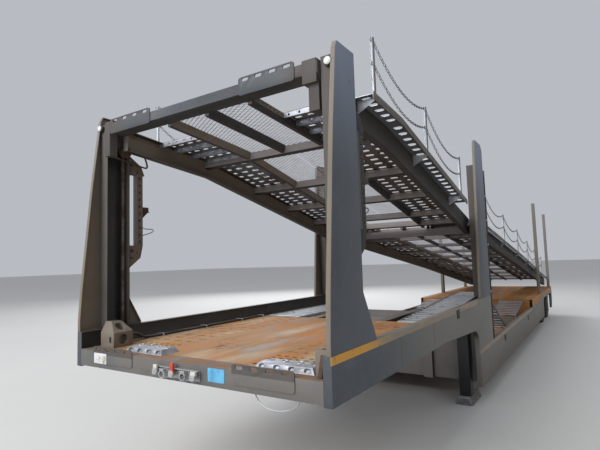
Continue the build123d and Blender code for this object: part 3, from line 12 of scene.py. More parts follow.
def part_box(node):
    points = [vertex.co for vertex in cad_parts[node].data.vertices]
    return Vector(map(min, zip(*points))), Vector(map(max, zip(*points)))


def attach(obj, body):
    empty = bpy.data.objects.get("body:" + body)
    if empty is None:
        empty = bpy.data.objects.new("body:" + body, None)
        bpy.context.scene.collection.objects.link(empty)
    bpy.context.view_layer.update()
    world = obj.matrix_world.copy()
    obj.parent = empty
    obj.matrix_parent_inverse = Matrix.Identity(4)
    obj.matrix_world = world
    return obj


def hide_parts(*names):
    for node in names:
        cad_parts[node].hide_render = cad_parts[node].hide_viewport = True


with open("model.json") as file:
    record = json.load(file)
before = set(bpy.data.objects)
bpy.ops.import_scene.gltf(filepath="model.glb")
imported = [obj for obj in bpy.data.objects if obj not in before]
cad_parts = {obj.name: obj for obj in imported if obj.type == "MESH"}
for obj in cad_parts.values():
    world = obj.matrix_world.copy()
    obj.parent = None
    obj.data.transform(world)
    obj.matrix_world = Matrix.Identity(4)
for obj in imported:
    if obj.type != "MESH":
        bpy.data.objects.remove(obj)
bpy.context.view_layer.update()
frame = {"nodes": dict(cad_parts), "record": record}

bl_info = {
    "name": "Car Transporter Trailer Finish",
    "version": (1, 0, 0),
    "blender": (4, 5, 0),
    "location": "View3D > Sidebar > Trailer",
    "description": "Adds the finish and the fine pieces of a two-deck car transporter semi-trailer",
    "category": "Object",
}

NODES = frame["nodes"]
NOSE_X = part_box("side_panels")[1].x


def aft(distance):
    """The place along X that is this many metres behind the nose."""
    return NOSE_X - distance


def behind(*points):
    """Points that are given by their distance aft and the rest."""
    return [(aft(distance), *rest) for distance, *rest in points]


# Settings


def colour_setting(name, description, default):
    """A colour that a user can change."""
    return bpy.props.FloatVectorProperty(
        name=name, description=description, default=default, subtype="COLOR", size=3, min=0, max=1
    )


def share_setting(name, description, default):
    """A share from 0 to 1 that a user can change."""
    return bpy.props.FloatProperty(
        name=name, description=description, default=default, min=0, max=1, subtype="FACTOR"
    )


def amount_setting(name, description, default, low):
    """A number that a user can change, with its lowest value."""
    return bpy.props.FloatProperty(name=name, description=description, default=default, min=low)


def angle_setting(name, description, degrees):
    """An angle that a user can change."""
    return bpy.props.FloatProperty(
        name=name, description=description, default=math.radians(degrees), subtype="ANGLE", unit="ROTATION"
    )


class FinishSettings(bpy.types.PropertyGroup):
    """Colours and wear of the trailer's surfaces"""

    paint: colour_setting("Paint", "Slate-grey paint of the panels and posts", (0.040, 0.050, 0.064))
    faded_paint: colour_setting("Faded paint", "Paint bleached by sun and dirt", (0.070, 0.079, 0.091))
    # painted sky reflection: this pale colour is laid towards the tops of the posts in place of the sky
    # reflected there
    painted_top_reflection: colour_setting("High paint", "Pale paint near the tops of the posts", (0.170, 0.205, 0.272))
    rear_paint: colour_setting("Rear paint", "Warm grey of the panels behind", (0.146, 0.137, 0.122))
    stripe: colour_setting("Stripe", "Stripe along the top of the side panels", (0.50, 0.235, 0.020))
    dirty_stripe: colour_setting("Dirty stripe", "The stripe under road dirt", (0.21, 0.165, 0.115))
    frame_paint: colour_setting("Frame paint", "Dark paint of the beams and guides", (0.052, 0.047, 0.044))
    dirt: colour_setting("Dirt", "Dried brown road dirt", (0.105, 0.076, 0.050))
    # painted shade: this near-black is laid on faces that look down and in the backs of the lashing recesses,
    # where shade falls
    painted_shade: colour_setting("Soot", "Black grime under and behind things", (0.014, 0.012, 0.011))
    dust: colour_setting("Dust", "Pale dust on faces that look up", (0.29, 0.235, 0.175))
    dark_rust: colour_setting("Dark rust", "Old rust", (0.055, 0.026, 0.014))
    bright_rust: colour_setting("Bright rust", "Fresh orange rust", (0.21, 0.088, 0.034))
    deck: colour_setting("Deck steel", "Worn steel of the lower deck", (0.310, 0.155, 0.046))
    zinc: colour_setting("Zinc", "Galvanised steel", (0.44, 0.465, 0.50))
    wear: share_setting("Wear", "How far rust has spread", 0.42)


class StageSettings(bpy.types.PropertyGroup):
    """Floor, light and camera"""

    floor: colour_setting("Floor", "Plain pale floor", (0.62, 0.61, 0.59))
    sky: colour_setting("Sky", "Even light all round", (0.80, 0.84, 0.90))
    sky_strength: amount_setting("Sky strength", "Brightness of the even light", 0.6, 0)
    lens: amount_setting("Lens", "Focal length in millimetres on a 36 mm sensor", 27.28, 1)
    yaw: angle_setting("Yaw", "Turn of the view from straight back towards the trailer's right", 33.15)
    pitch: angle_setting("Pitch", "Tilt of the view above the horizon", 4.65)
    roll: angle_setting("Roll", "Lean of the camera to its right", 1.76)
    stand: bpy.props.FloatVectorProperty(
        name="Stand", description="Where the camera stands", default=(9.321, 2.596, 1.86), subtype="XYZ",
        unit="LENGTH",
    )


# Shader nodes


def join(tree, value, socket):
    """Sets a socket to a constant, or links a socket to it."""
    if isinstance(value, bpy.types.NodeSocket):
        tree.links.new(value, socket)
    elif hasattr(value, "__len__") and len(value) == 3 and socket.type == "RGBA":
        socket.default_value = (*value, 1)
    else:
        socket.default_value = value


def node(tree, kind, settings=None, **inputs):
    """Adds a node; inputs are constants or sockets, by the socket's name with _ for a space."""
    made = tree.nodes.new(kind)
    for key, value in (settings or {}).items():
        setattr(made, key, value)
    for key, value in inputs.items():
        join(tree, value, made.inputs[key.replace("_", " ")])
    return made


def maths(tree, operation, *values, clamp=False):
    """One sum on one or two values."""
    made = node(tree, "ShaderNodeMath", {"operation": operation, "use_clamp": clamp})
    for value, socket in zip(values, made.inputs):
        join(tree, value, socket)
    return made.outputs[0]


def times(tree, first, *others, clamp=False):
    """The product of some values."""
    for other in others:
        first = maths(tree, "MULTIPLY", first, other, clamp=clamp)
    return first


def plus(tree, first, *others, clamp=False):
    """The sum of some values."""
    for other in others:
        first = maths(tree, "ADD", first, other, clamp=clamp)
    return first


def minus(tree, value, other):
    """A value less another."""
    return maths(tree, "SUBTRACT", value, other)


def inside(tree, value, low, high):
    """1 where a value is between two others, or else 0."""
    return times(tree, maths(tree, "GREATER_THAN", value, low), maths(tree, "LESS_THAN", value, high))


def step(tree, value, low, high):
    """0 below low and 1 above high, with a smooth rise between."""
    made = node(
        tree, "ShaderNodeMapRange", {"interpolation_type": "SMOOTHSTEP"},
        Value=value, From_Min=low, From_Max=high,
    )
    return made.outputs["Result"]


def mix(tree, share, a, b, blend="MIX"):
    """Colour a where share is 0 and colour b where it is 1."""
    made = node(tree, "ShaderNodeMix", {"data_type": "RGBA", "blend_type": blend, "clamp_factor": True})
    for value, number in ((share, 0), (a, 6), (b, 7)):
        join(tree, value, made.inputs[number])
    return made.outputs[2]


def place(tree, stretch=(1, 1, 1)):
    """Object coordinates, stretched."""
    at = tree.nodes.new("ShaderNodeTexCoord").outputs["Object"]
    if stretch == (1, 1, 1):
        return at
    return node(tree, "ShaderNodeMapping", Vector=at, Scale=stretch).outputs["Vector"]


def split(tree, vector=None):
    """The X, Y and Z of a vector, or of the place."""
    return node(tree, "ShaderNodeSeparateXYZ", Vector=vector or place(tree)).outputs


def from_middle(tree):
    """Distance from the trailer's middle, across."""
    return maths(tree, "ABSOLUTE", split(tree)["Y"])


def noise(tree, scale, detail=4.0, rough=0.55, stretch=(1, 1, 1), warp=0.0):
    """A noise value on Object coordinates."""
    made = node(
        tree, "ShaderNodeTexNoise", Vector=place(tree, stretch), Scale=scale, Detail=detail, Roughness=rough,
        Distortion=warp,
    )
    return made.outputs["Fac"]


def clouds(tree, low, high, *shape, **more):
    """Patches where a noise rises from low to high; the rest is the noise's scale, detail and roughness."""
    return step(tree, noise(tree, *shape, **more), low, high)


def group(name, **inputs):
    """A new shader node group with these numbers as inputs; gives its tree and its input sockets."""
    tree = bpy.data.node_groups.new(name, "ShaderNodeTree")
    for key, value in inputs.items():
        label = key.replace("_", " ")
        socket = tree.interface.new_socket(name=label, in_out="INPUT", socket_type="NodeSocketFloat")
        socket.default_value = value
    return tree, tree.nodes.new("NodeGroupInput").outputs


def give(tree, **outputs):
    """Gives a group its outputs: numbers, and a colour where that is the output's name."""
    for name in outputs:
        kind = "NodeSocketColor" if name == "Colour" else "NodeSocketFloat"
        tree.interface.new_socket(name=name, in_out="OUTPUT", socket_type=kind)
    node(tree, "NodeGroupOutput", **outputs)


def effect(tree, name, **inputs):
    """Places a shared effect in a material and gives its outputs."""
    return node(tree, "ShaderNodeGroup", {"node_tree": bpy.data.node_groups[name]}, **inputs).outputs


def rust_group(look):
    """Patches of rust that start as specks and join up as Amount grows."""
    tree, given = group("Rust growth", Scale=3.0, Amount=0.4)
    broad = noise(tree, given["Scale"], 6.0, 0.6, warp=0.5)
    fine = noise(tree, 38.0, 5.0, 0.65)
    blend = plus(tree, times(tree, broad, 0.62), times(tree, fine, 0.38))
    edge = minus(tree, 0.72, times(tree, given["Amount"], 0.42))
    mask = step(tree, blend, edge, plus(tree, edge, 0.06))
    shade = clouds(tree, 0.36, 0.66, 14.0, 6.0, 0.7, warp=0.8)
    colour = mix(tree, shade, look.dark_rust, look.bright_rust)
    give(tree, Mask=mask, Colour=colour, Height=times(tree, mask, fine))


def runs_group():
    """Stains that run down, as streaks of noise drawn out upright."""
    tree, given = group("Rain runs", Spacing=9.0, Amount=0.4)
    narrow = noise(tree, given["Spacing"], 5.0, 0.6, stretch=(1, 1, 0.07))
    both = times(tree, plus(tree, narrow, times(tree, noise(tree, 1.7, 3.0), 0.5)), 0.66)
    edge = minus(tree, 0.66, times(tree, given["Amount"], 0.28))
    give(tree, Mask=step(tree, both, edge, plus(tree, edge, 0.14)))


def normal(tree):
    """The X, Y and Z of the way a face looks."""
    return split(tree, tree.nodes.new("ShaderNodeTexCoord").outputs["Normal"])


def dust_group():
    """Dust that lies on faces that look up, thicker in patches."""
    tree, given = group("Settled dust", Amount=0.5)
    up = step(tree, normal(tree)["Z"], 0.25, 0.95)
    give(tree, Mask=times(tree, up, clouds(tree, 0.28, 0.66, 5.0, 5.0, 0.6), given["Amount"]))


def scuffs_group():
    """Long thin scuffs along the trailer, as tyres leave them."""
    tree, given = group("Tyre scuffs", Amount=0.4)
    drawn = clouds(tree, 0.53, 0.66, 30.0, 3.0, 0.6, stretch=(0.03, 1, 1))
    give(tree, Mask=times(tree, drawn, clouds(tree, 0.42, 0.62, 1.1, 3.0), given["Amount"]))


def low_dirt_group():
    """Road dirt that thickens towards the ground."""
    tree, given = group("Low dirt", Clean_above=1.3, Dirty_below=0.2)
    ragged = plus(tree, split(tree)["Z"], times(tree, noise(tree, 2.6, 6.0, 0.6), 0.5))
    clean = step(tree, minus(tree, ragged, 0.25), given["Dirty below"], given["Clean above"])
    give(tree, Mask=minus(tree, 1.0, clean))


def spangle_group():
    """Crystals and dull clouds of a zinc coat."""
    tree, given = group("Zinc spangle", Size=70.0)
    cells = node(tree, "ShaderNodeTexVoronoi", Vector=place(tree), Scale=given["Size"]).outputs["Color"]
    cell = split(tree, cells)["X"]
    cloud = clouds(tree, 0.3, 0.7, 3.2, 5.0, 0.6)
    tone = plus(tree, times(tree, cell, 0.16), times(tree, cloud, 0.22), 0.78)
    give(tree, Tone=tone, Gloss=plus(tree, times(tree, cell, 0.18), 0.38))


def grain_group():
    """Fine unevenness of a sprayed or rolled surface."""
    tree, given = group("Surface grain", Size=160.0)
    fine = noise(tree, given["Size"], 3.0, 0.5)
    give(tree, Height=plus(tree, times(tree, fine, 0.25), noise(tree, 4.5, 2.0)))


def facing_group():
    """Which way a face looks: to the trailer's middle, away from it, down or ahead."""
    tree, given = group("Facing", Sharpness=0.35)
    facing = normal(tree)
    outward = times(tree, facing["Y"], maths(tree, "SIGN", split(tree)["Y"]))
    ways = {
        "Inward": times(tree, outward, -1.0),
        "Outward": outward,
        "Down": times(tree, facing["Z"], -1.0),
        "Ahead": facing["X"],
    }
    high = plus(tree, given["Sharpness"], 0.4)
    give(tree, **{name: step(tree, value, given["Sharpness"], high) for name, value in ways.items()})


# Materials


class Coat:
    """A material in the making: its colour, roughness, metal share and height are built up layer by layer."""

    def __init__(self, name, colour, rough, metal=0.0):
        self.material = bpy.data.materials.new(name)
        self.material.use_nodes = True
        self.tree = self.material.node_tree
        self.shader = self.tree.nodes["Principled BSDF"]
        self.colour = colour
        self.rough = rough
        self.metal = metal
        self.height = effect(self.tree, "Surface grain")["Height"]

    def layer(self, mask, colour, rough=None, metal=None, share=None):
        """Lays a share of a colour over what is there, with its own roughness and metal share."""
        tree = self.tree
        if share is not None:
            mask = times(tree, mask, share)
        self.colour = mix(tree, mask, self.colour, colour)
        for name, value in (("rough", rough), ("metal", metal)):
            if value is not None:
                under = getattr(self, name)
                setattr(self, name, plus(tree, under, times(tree, mask, minus(tree, value, under))))

    def film(self, name, amount, colour, rough=None, metal=None, share=None):
        """Lays a colour where a shared effect is, by the effect's Amount."""
        self.layer(effect(self.tree, name, Amount=amount)["Mask"], colour, rough, metal, share)

    def raise_by(self, height, share):
        """Adds relief."""
        self.height = plus(self.tree, self.height, times(self.tree, height, share))

    def done(self, bump=0.25, reach=0.004, **sockets):
        """Joins the layers to the shader."""
        relief = node(self.tree, "ShaderNodeBump", Strength=bump, Distance=reach, Height=self.height)
        for name, value in (
            ("Base Color", self.colour), ("Roughness", self.rough), ("Metallic", self.metal),
            ("Normal", relief.outputs["Normal"]),
        ):
            join(self.tree, value, self.shader.inputs[name])
        for key, value in sockets.items():
            self.shader.inputs[key.replace("_", " ")].default_value = value
        return self.material


def rusted(coat, look, share, scale=3.0):
    """Rust over a coat, as a share of the wear."""
    rust = effect(coat.tree, "Rust growth", Amount=look.wear * share, Scale=scale)
    coat.layer(rust["Mask"], rust["Colour"], 0.9, 0.0)
    coat.raise_by(rust["Height"], 0.9)


def dirty_low(coat, colour, rough, share, dirty_below, clean_above):
    """Road dirt over a coat, thick below one height and gone above another."""
    low = effect(coat.tree, "Low dirt", Clean_above=clean_above, Dirty_below=dirty_below)["Mask"]
    coat.layer(low, colour, rough, share=share)


def shaded_by_facing(coat, look, **shares):
    """Colours by the way a face looks, in patches; each share is for Inward, Outward, Down or Ahead, with its
    colour, and faces that look down get painted shade.
    """
    tree = coat.tree
    facing = effect(tree, "Facing")
    patches = plus(tree, times(tree, noise(tree, 2.8, 6.0, 0.65), 0.9), 0.5, clamp=True)
    for name, (share, colour) in shares.items():
        coat.layer(times(tree, facing[name], patches), colour, 0.85, share=share)
    # painted shade: faces that look down are darkened with near-black, where shade falls under things
    coat.layer(facing["Down"], look.painted_shade, 0.9, 0.0, share=0.8)


def painted(name, look, base, faded, rust, runs=0.35, dust=0.45, low_dirt=(0.1, 1.2), colour_along_axis=None, **facing_light_shade_and_tint):
    """Weathered paint with faded patches, a change of colour along an axis, stains, rust, colours by the way
    a face looks with painted shade on faces that look down, and dust.
    """
    coat = Coat(name, base, 0.48)
    tree = coat.tree
    coat.layer(clouds(tree, 0.36, 0.66, 1.6, 6.0, 0.62), faded, 0.62)
    # A change of colour along an axis: on the posts it is a painted sky reflection that pales them towards
    # their tops.
    if colour_along_axis:
        axis, first, last, colour = colour_along_axis
        coat.layer(step(tree, split(tree)[axis], first, last), colour, 0.6, share=0.9)
    coat.layer(clouds(tree, 0.62, 0.72, 55.0, 4.0, 0.7), look.dust, share=0.5)
    dirty_low(coat, look.dirt, 0.85, 0.7, *low_dirt)
    coat.film("Rain runs", runs, look.dirt, 0.8, share=0.55)
    rusted(coat, look, rust)
    shaded_by_facing(coat, look, **facing_light_shade_and_tint)
    coat.film("Settled dust", dust, look.dust, 0.92)
    return coat


STRIPE_HEIGHT = 0.05
STRIPE_EDGE = 0.002
STRIPE_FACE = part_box("side_panels")[1].y - 0.004
# Distances aft where the stripe's bright end starts to fade and where it is dirty
STRIPE_FADE = (0.40, 1.0)
# Height of a panel's top, front and rear of that stretch
STRIPES = [(1.31, NOSE_X + 0.01, aft(3.75)), (0.69, aft(3.75), aft(9.1))]


def striped(coat, look):
    """The stripe along the top edge of the panels, bright at the nose and dirty behind."""
    tree = coat.tree
    at = split(tree)
    bands = [
        times(
            tree, inside(tree, at["Z"], top - STRIPE_HEIGHT, top + STRIPE_EDGE),
            inside(tree, at["X"], rear, front),
        )
        for top, front, rear in STRIPES
    ]
    outside = maths(tree, "GREATER_THAN", from_middle(tree), STRIPE_FACE)
    age = step(tree, minus(tree, NOSE_X, at["X"]), *STRIPE_FADE)
    grime = clouds(tree, 0.25, 0.6, 9.0, 5.0, 0.6)
    dirty = times(tree, age, plus(tree, grime, 0.3), clamp=True)
    chipped = minus(tree, 1.0, clouds(tree, 0.6, 0.68, 24.0, 6.0, 0.7))
    band = times(tree, plus(tree, *bands, clamp=True), outside)
    coat.layer(band, mix(tree, dirty, look.stripe, look.dirty_stripe), 0.5, share=chipped)


def grey_paint(look):
    """Slate-grey paint of the posts, with a painted sky reflection that pales them towards their tops,
    browner on faces that look inwards, and painted light paling the faces that look ahead.
    """
    return painted(
        "grey_paint", look, look.paint, look.faded_paint, 0.55, runs=0.25, low_dirt=(-0.2, 0.9),
        colour_along_axis=("Z", 2.3, 3.4, look.painted_top_reflection), Inward=(0.8, (0.185, 0.134, 0.088)),
        Ahead=(0.8, (0.215, 0.175, 0.130)),
    ).done()


PLATES_FRONT = NOSE_X + 0.004
# Foot and head of the dark band along the top of the nose plates
PLATES_BAND = (1.139, 1.147)


def nose_paint(look):
    """Brown-grey paint of the nose beam, rusty on top, with a dark band along the top of its plates."""
    coat = painted(
        "nose_paint", look, (0.140, 0.124, 0.112), (0.098, 0.102, 0.105), 0.6, dust=0.1, low_dirt=(-0.5, 0.6)
    )
    tree = coat.tree
    at = split(tree)
    band = times(tree, maths(tree, "GREATER_THAN", at["X"], PLATES_FRONT), step(tree, at["Z"], *PLATES_BAND))
    coat.layer(band, (0.050, 0.045, 0.042), 0.6, share=0.8)
    coat.film("Settled dust", 1.0, (0.26, 0.125, 0.055), 0.9)
    return coat.done()


def deck_nose_paint(look):
    """Dark slate paint of the upper deck's front beam, with a brown wash at its ends."""
    coat = painted(
        "deck_nose_paint", look, (0.040, 0.046, 0.057), (0.060, 0.064, 0.070), 0.5, dust=0.3,
        Outward=(0.7, (0.050, 0.040, 0.032)),
    )
    tree = coat.tree
    coat.layer(step(tree, from_middle(tree), 0.8, 1.05), (0.090, 0.065, 0.046), 0.85, share=0.5)
    return coat.done()


def guide_paint(look):
    """Greasy black of the guides, with painted light greying their front faces in patches."""
    return painted(
        "guide_paint", look, (0.018, 0.018, 0.019), (0.034, 0.030, 0.027), 0.7, runs=0.5,
        Ahead=(0.8, (0.100, 0.088, 0.078)),
    ).done()


# Distances from the trailer's middle: behind a recess's back, its back and the face of its frame
BEHIND_RECESS = 1.20
RECESS_BACK = 1.260
RECESS_FACE = 1.2695


def panel_paint(look):
    """Grey paint of the side panels, warmer behind, with the stripe and painted shade in the backs of the
    lashing recesses.
    """
    coat = painted(
        "panel_paint", look, look.paint, look.faded_paint, 0.5, low_dirt=(-0.3, 0.8),
        colour_along_axis=("X", aft(0.4), aft(2.2), look.rear_paint), Inward=(0.85, (0.060, 0.048, 0.040)),
    )
    tree = coat.tree
    across = from_middle(tree)
    outward = effect(tree, "Facing")["Outward"]
    # painted shade: near-black in the backs of the recesses, where shade falls, and pale grey on their frames
    for low, high, colour in (
        (BEHIND_RECESS, RECESS_BACK, look.painted_shade), (RECESS_BACK, RECESS_FACE, (0.36, 0.35, 0.33)),
    ):
        coat.layer(inside(tree, across, low, high), colour, 0.8, share=outward)
    striped(coat, look)
    return coat.done()


def frame_paint(look):
    """Dark paint under brown dirt and rust, tan on the faces that look inwards, with painted light paling the
    faces that look ahead and painted shade darkening those that look outwards.
    """
    return painted(
        "frame_paint", look, look.frame_paint, look.dirt, 0.85, runs=0.6, dust=0.5,
        Inward=(0.8, (0.165, 0.128, 0.095)), Outward=(0.85, (0.019, 0.018, 0.018)),
        Ahead=(0.85, (0.250, 0.225, 0.220)),
    ).done(bump=0.35)


def deck_steel(look):
    """Rusty deck plate with pale worn streaks and bright rust clouds."""
    coat = Coat("deck_steel", look.deck, 0.7)
    tree = coat.tree
    orange = clouds(tree, 0.4, 0.62, 1.5, 7.0, 0.64, stretch=(0.45, 1, 1), warp=0.6)
    coat.layer(orange, (0.46, 0.185, 0.050), 0.85)
    pale = clouds(tree, 0.5, 0.66, 2.3, 6.0, 0.6, stretch=(0.22, 1, 1), warp=0.3)
    coat.layer(pale, (0.42, 0.32, 0.190), 0.6, share=0.75)
    grey = clouds(tree, 0.6, 0.72, 1.9, 5.0, 0.55, stretch=(0.4, 1, 1))
    coat.layer(grey, (0.25, 0.24, 0.22), 0.6, 0.2, share=0.7)
    coat.film("Tyre scuffs", 0.6, (0.16, 0.10, 0.06), 0.8)
    rusted(coat, look, 0.8, 2.2)
    coat.layer(clouds(tree, 0.6, 0.75, 60.0, 4.0, 0.7), (0.16, 0.09, 0.05))
    return coat.done(bump=0.4)


def zinc_coat(name, look, metal):
    """A coat of zinc with its crystals."""
    coat = Coat(name, look.zinc, 0.5, metal)
    spangle = effect(coat.tree, "Zinc spangle")
    coat.colour = mix(coat.tree, 1.0, look.zinc, spangle["Tone"], "MULTIPLY")
    coat.rough = spangle["Gloss"]
    return coat


def zinc_steel(look):
    """Dull galvanised steel with rust specks and dirt."""
    coat = zinc_coat("zinc_steel", look, 0.55)
    coat.film("Rain runs", 0.5, look.dirt, 0.8, 0.1, share=0.4)
    rusted(coat, look, 0.75, 4.0)
    # Browner on faces that look outwards, and painted shade on faces that look down.
    shaded_by_facing(coat, look, Outward=(0.85, look.dirt))
    coat.film("Settled dust", 0.4, look.dust, 0.9, 0.0)
    return coat.done(bump=0.2)


def drive_zinc(look):
    """Galvanised plates that cars drive over, browner with rust than the rest."""
    coat = zinc_coat("drive_zinc", look, 0.5)
    coat.layer(clouds(coat.tree, 0.46, 0.6, 0.9, 6.0, 0.6), (0.30, 0.20, 0.13), 0.8, 0.0, share=0.75)
    rusted(coat, look, 1.1, 2.4)
    # Painted shade on faces that look down.
    shaded_by_facing(coat, look)
    coat.film("Settled dust", 0.5, look.dust, 0.9, 0.0)
    return coat.done(bump=0.3)


def black_steel(look):
    """Black paint with grease and a little rust."""
    return painted("black_steel", look, (0.018, 0.019, 0.022), (0.035, 0.035, 0.036), 0.7, runs=0.5).done()


def oiled_steel(look):
    """Bare steel, oily and browned."""
    coat = Coat("oiled_steel", (0.20, 0.18, 0.16), 0.38, 0.8)
    coat.layer(clouds(coat.tree, 0.4, 0.6, 8.0, 5.0, 0.6), (0.09, 0.065, 0.045), 0.6, 0.4)
    rusted(coat, look, 0.8, 6.0)
    return coat.done(bump=0.2, reach=0.002)


def wheel_paint(look):
    """Dull silver paint of the rims, under dust and brake dirt."""
    silver, dull = (0.34, 0.34, 0.34), (0.26, 0.25, 0.24)
    return painted("wheel_paint", look, silver, dull, 0.7, low_dirt=(-0.2, 0.9)).done()


def tyre_rubber(look):
    """Dusty tyre rubber."""
    coat = Coat("tyre_rubber", (0.022, 0.022, 0.023), 0.78)
    coat.layer(clouds(coat.tree, 0.35, 0.7, 5.0, 5.0, 0.6), (0.05, 0.045, 0.04), 0.9)
    dirty_low(coat, (0.12, 0.095, 0.07), 0.95, 0.55, -0.3, 0.75)
    return coat.done(bump=0.2, reach=0.002)


def black_rubber(look):
    """Matte black rubber of bags and hoses."""
    coat = Coat("black_rubber", (0.02, 0.02, 0.021), 0.65)
    coat.layer(clouds(coat.tree, 0.4, 0.7, 7.0, 4.0, 0.6), (0.045, 0.042, 0.038), 0.85)
    coat.film("Settled dust", 0.4, look.dust, 0.9)
    return coat.done(bump=0.15, reach=0.001)


def red_lens(look):
    """Moulded red lens with ribs."""
    coat = Coat("red_lens", (0.42, 0.012, 0.01), 0.22)
    tree = coat.tree
    coat.raise_by(node(tree, "ShaderNodeTexWave", Vector=place(tree), Scale=60.0).outputs["Fac"], 0.6)
    coat.layer(clouds(tree, 0.55, 0.7, 30.0, 4.0), (0.30, 0.03, 0.02), 0.4)
    return coat.done(bump=0.3, reach=0.001, Coat_Weight=0.5)


def white_plate(look):
    """Blank white plate, scuffed."""
    coat = Coat("white_plate", (0.62, 0.62, 0.61), 0.4)
    coat.layer(clouds(coat.tree, 0.52, 0.7, 18.0, 5.0, 0.6), look.dust, 0.7)
    rusted(coat, look, 0.4, 8.0)
    return coat.done(bump=0.1, reach=0.001)


# Name, colour, roughness, metal share and rust of the small fittings' coats
SMALL_COATS = [
    ("zinc_mesh", (0.42, 0.41, 0.45), 0.55, 0.3, 0.2),
    ("bright_zinc", (0.39, 0.41, 0.465), 0.42, 0.5, 0.25),
    ("foot_grey", (0.17, 0.17, 0.175), 0.6, 0.1, 0.3),
    ("cast_alloy", (0.42, 0.42, 0.43), 0.5, 0.4, 0.2),
    ("dusty_steel", (0.155, 0.115, 0.075), 0.85, 0.0, 0.35),
    ("rusty_iron", (0.085, 0.05, 0.032), 0.85, 0.1, 0.75),
    ("signal_red", (0.50, 0.06, 0.02), 0.45, 0.0, 0.15),
    ("pale_plastic", (0.55, 0.54, 0.50), 0.5, 0.0, 0.1),
    ("blue_plate", (0.12, 0.42, 0.68), 0.4, 0.0, 0.2),
    ("clear_lens", (0.75, 0.76, 0.74), 0.18, 0.0, 0.0),
    ("amber_lens", (0.55, 0.16, 0.01), 0.22, 0.0, 0.0),
]


def small_coat(look, name, colour, rough, metal, rust):
    """The coat of a small fitting: its colour in two tones, rust and dust."""
    coat = Coat(name, colour, rough, metal)
    coat.layer(clouds(coat.tree, 0.42, 0.68, 11.0, 5.0, 0.6), tuple(c * 0.6 for c in colour))
    if rust:
        rusted(coat, look, rust * 1.4, 9.0)
        coat.film("Settled dust", 0.4, look.dust, 0.9)
    return coat.done(bump=0.15, reach=0.001)


# The record's slot, the maker of its material
SLOT_MATERIALS = {
    "grey_paint": grey_paint, "brown_steel": frame_paint, "rusty_deck": deck_steel, "galvanised": zinc_steel,
    "black_steel": black_steel, "bare_steel": oiled_steel, "rim_paint": wheel_paint, "tyre": tyre_rubber,
    "rubber": black_rubber, "lamp_lens": red_lens, "plate_white": white_plate,
}
# Nodes that take another material than their slot's
NODE_MATERIALS = {
    "side_panels": "panel_paint", "front_deck_tracks": "drive_zinc", "rear_deck_tracks": "drive_zinc",
    "nose_planks": "bright_zinc", "nose_beam": "nose_paint", "front_deck_nose": "deck_nose_paint",
    "front_guides": "guide_paint", "landing_legs": "black_steel", "second_guides": "guide_paint",
    "rear_guides": "guide_paint",
}


def coat_nodes(look):
    """Builds the shared effects and the materials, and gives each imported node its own."""
    rust_group(look)
    for build in (
        runs_group, dust_group, scuffs_group, low_dirt_group, spangle_group, grain_group, facing_group,
    ):
        build()
    by_slot = {slot: make(look) for slot, make in SLOT_MATERIALS.items()}
    for make in (panel_paint, nose_paint, deck_nose_paint, guide_paint, drive_zinc):
        make(look)
    for row in SMALL_COATS:
        small_coat(look, *row)
    for part in frame["record"]["subparts"]:
        other = NODE_MATERIALS.get(part["node"])
        mesh = NODES[part["node"]].data
        mesh.materials.clear()
        mesh.materials.append(bpy.data.materials[other] if other else by_slot[part["material_slot"]])


class TRAILER_OT_coats(bpy.types.Operator):
    """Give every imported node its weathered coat"""

    bl_idname = "trailer.coats"
    bl_label = "Coats"

    def execute(self, context):
        coat_nodes(context.scene.trailer_finish)
        return {"FINISHED"}


# Modelling

MERGE = 0.00002
FLAT = math.radians(0.5)
HERE = Matrix.Identity(4)
SIDES = (1, -1)
BODY_OF = {name: body for body, names in frame["record"]["behaviour"]["bodies"].items() for name in names}


def moved(x, y, z):
    """A move, as a matrix."""
    return Matrix.Translation((x, y, z))


def turned(angle, axis):
    """A turn about an axis, as a matrix."""
    return Matrix.Rotation(angle, 4, axis)


def sized(x, y, z):
    """A size along each axis, as a matrix."""
    return Matrix.Diagonal((x, y, z, 1))


def towards(direction, forward="Z", up="Y"):
    """A turn that takes z, or another axis, to a direction, as a matrix."""
    return Vector(direction).to_track_quat(forward, up).to_matrix().to_4x4()


def only(piece=None):
    """Leaves one piece, or none, selected in object mode."""
    if bpy.context.mode != "OBJECT":
        bpy.ops.object.mode_set(mode="OBJECT")
    bpy.ops.object.select_all(action="DESELECT")
    if piece:
        piece.select_set(True)
        bpy.context.view_layer.objects.active = piece


def start(name, kind, **settings):
    """Adds a primitive at its size and place."""
    only()
    getattr(bpy.ops.mesh, f"primitive_{kind}_add")(**settings)
    piece = bpy.context.object
    piece.name = name
    bpy.ops.object.transform_apply(location=True, rotation=True, scale=True)
    return piece


def drawn(name, points, fill="NOTHING"):
    """A closed outline through these points, filled or not."""
    piece = start(name, "circle", vertices=len(points), fill_type=fill)
    for vertex, at in zip(piece.data.vertices, points):
        vertex.co = at
    return piece


def modify(piece, kind, **settings):
    """Adds a modifier and applies it."""
    only(piece)
    made = piece.modifiers.new(kind.lower(), kind)
    for key, value in settings.items():
        setattr(made, key, value)
    bpy.ops.object.modifier_apply(modifier=made.name)
    return piece


def rounded(piece, width, angle=30):
    """Rounds the edges that turn by more than an angle."""
    if width:
        modify(piece, "BEVEL", width=width, segments=2, limit_method="ANGLE", angle_limit=math.radians(angle))
    return piece


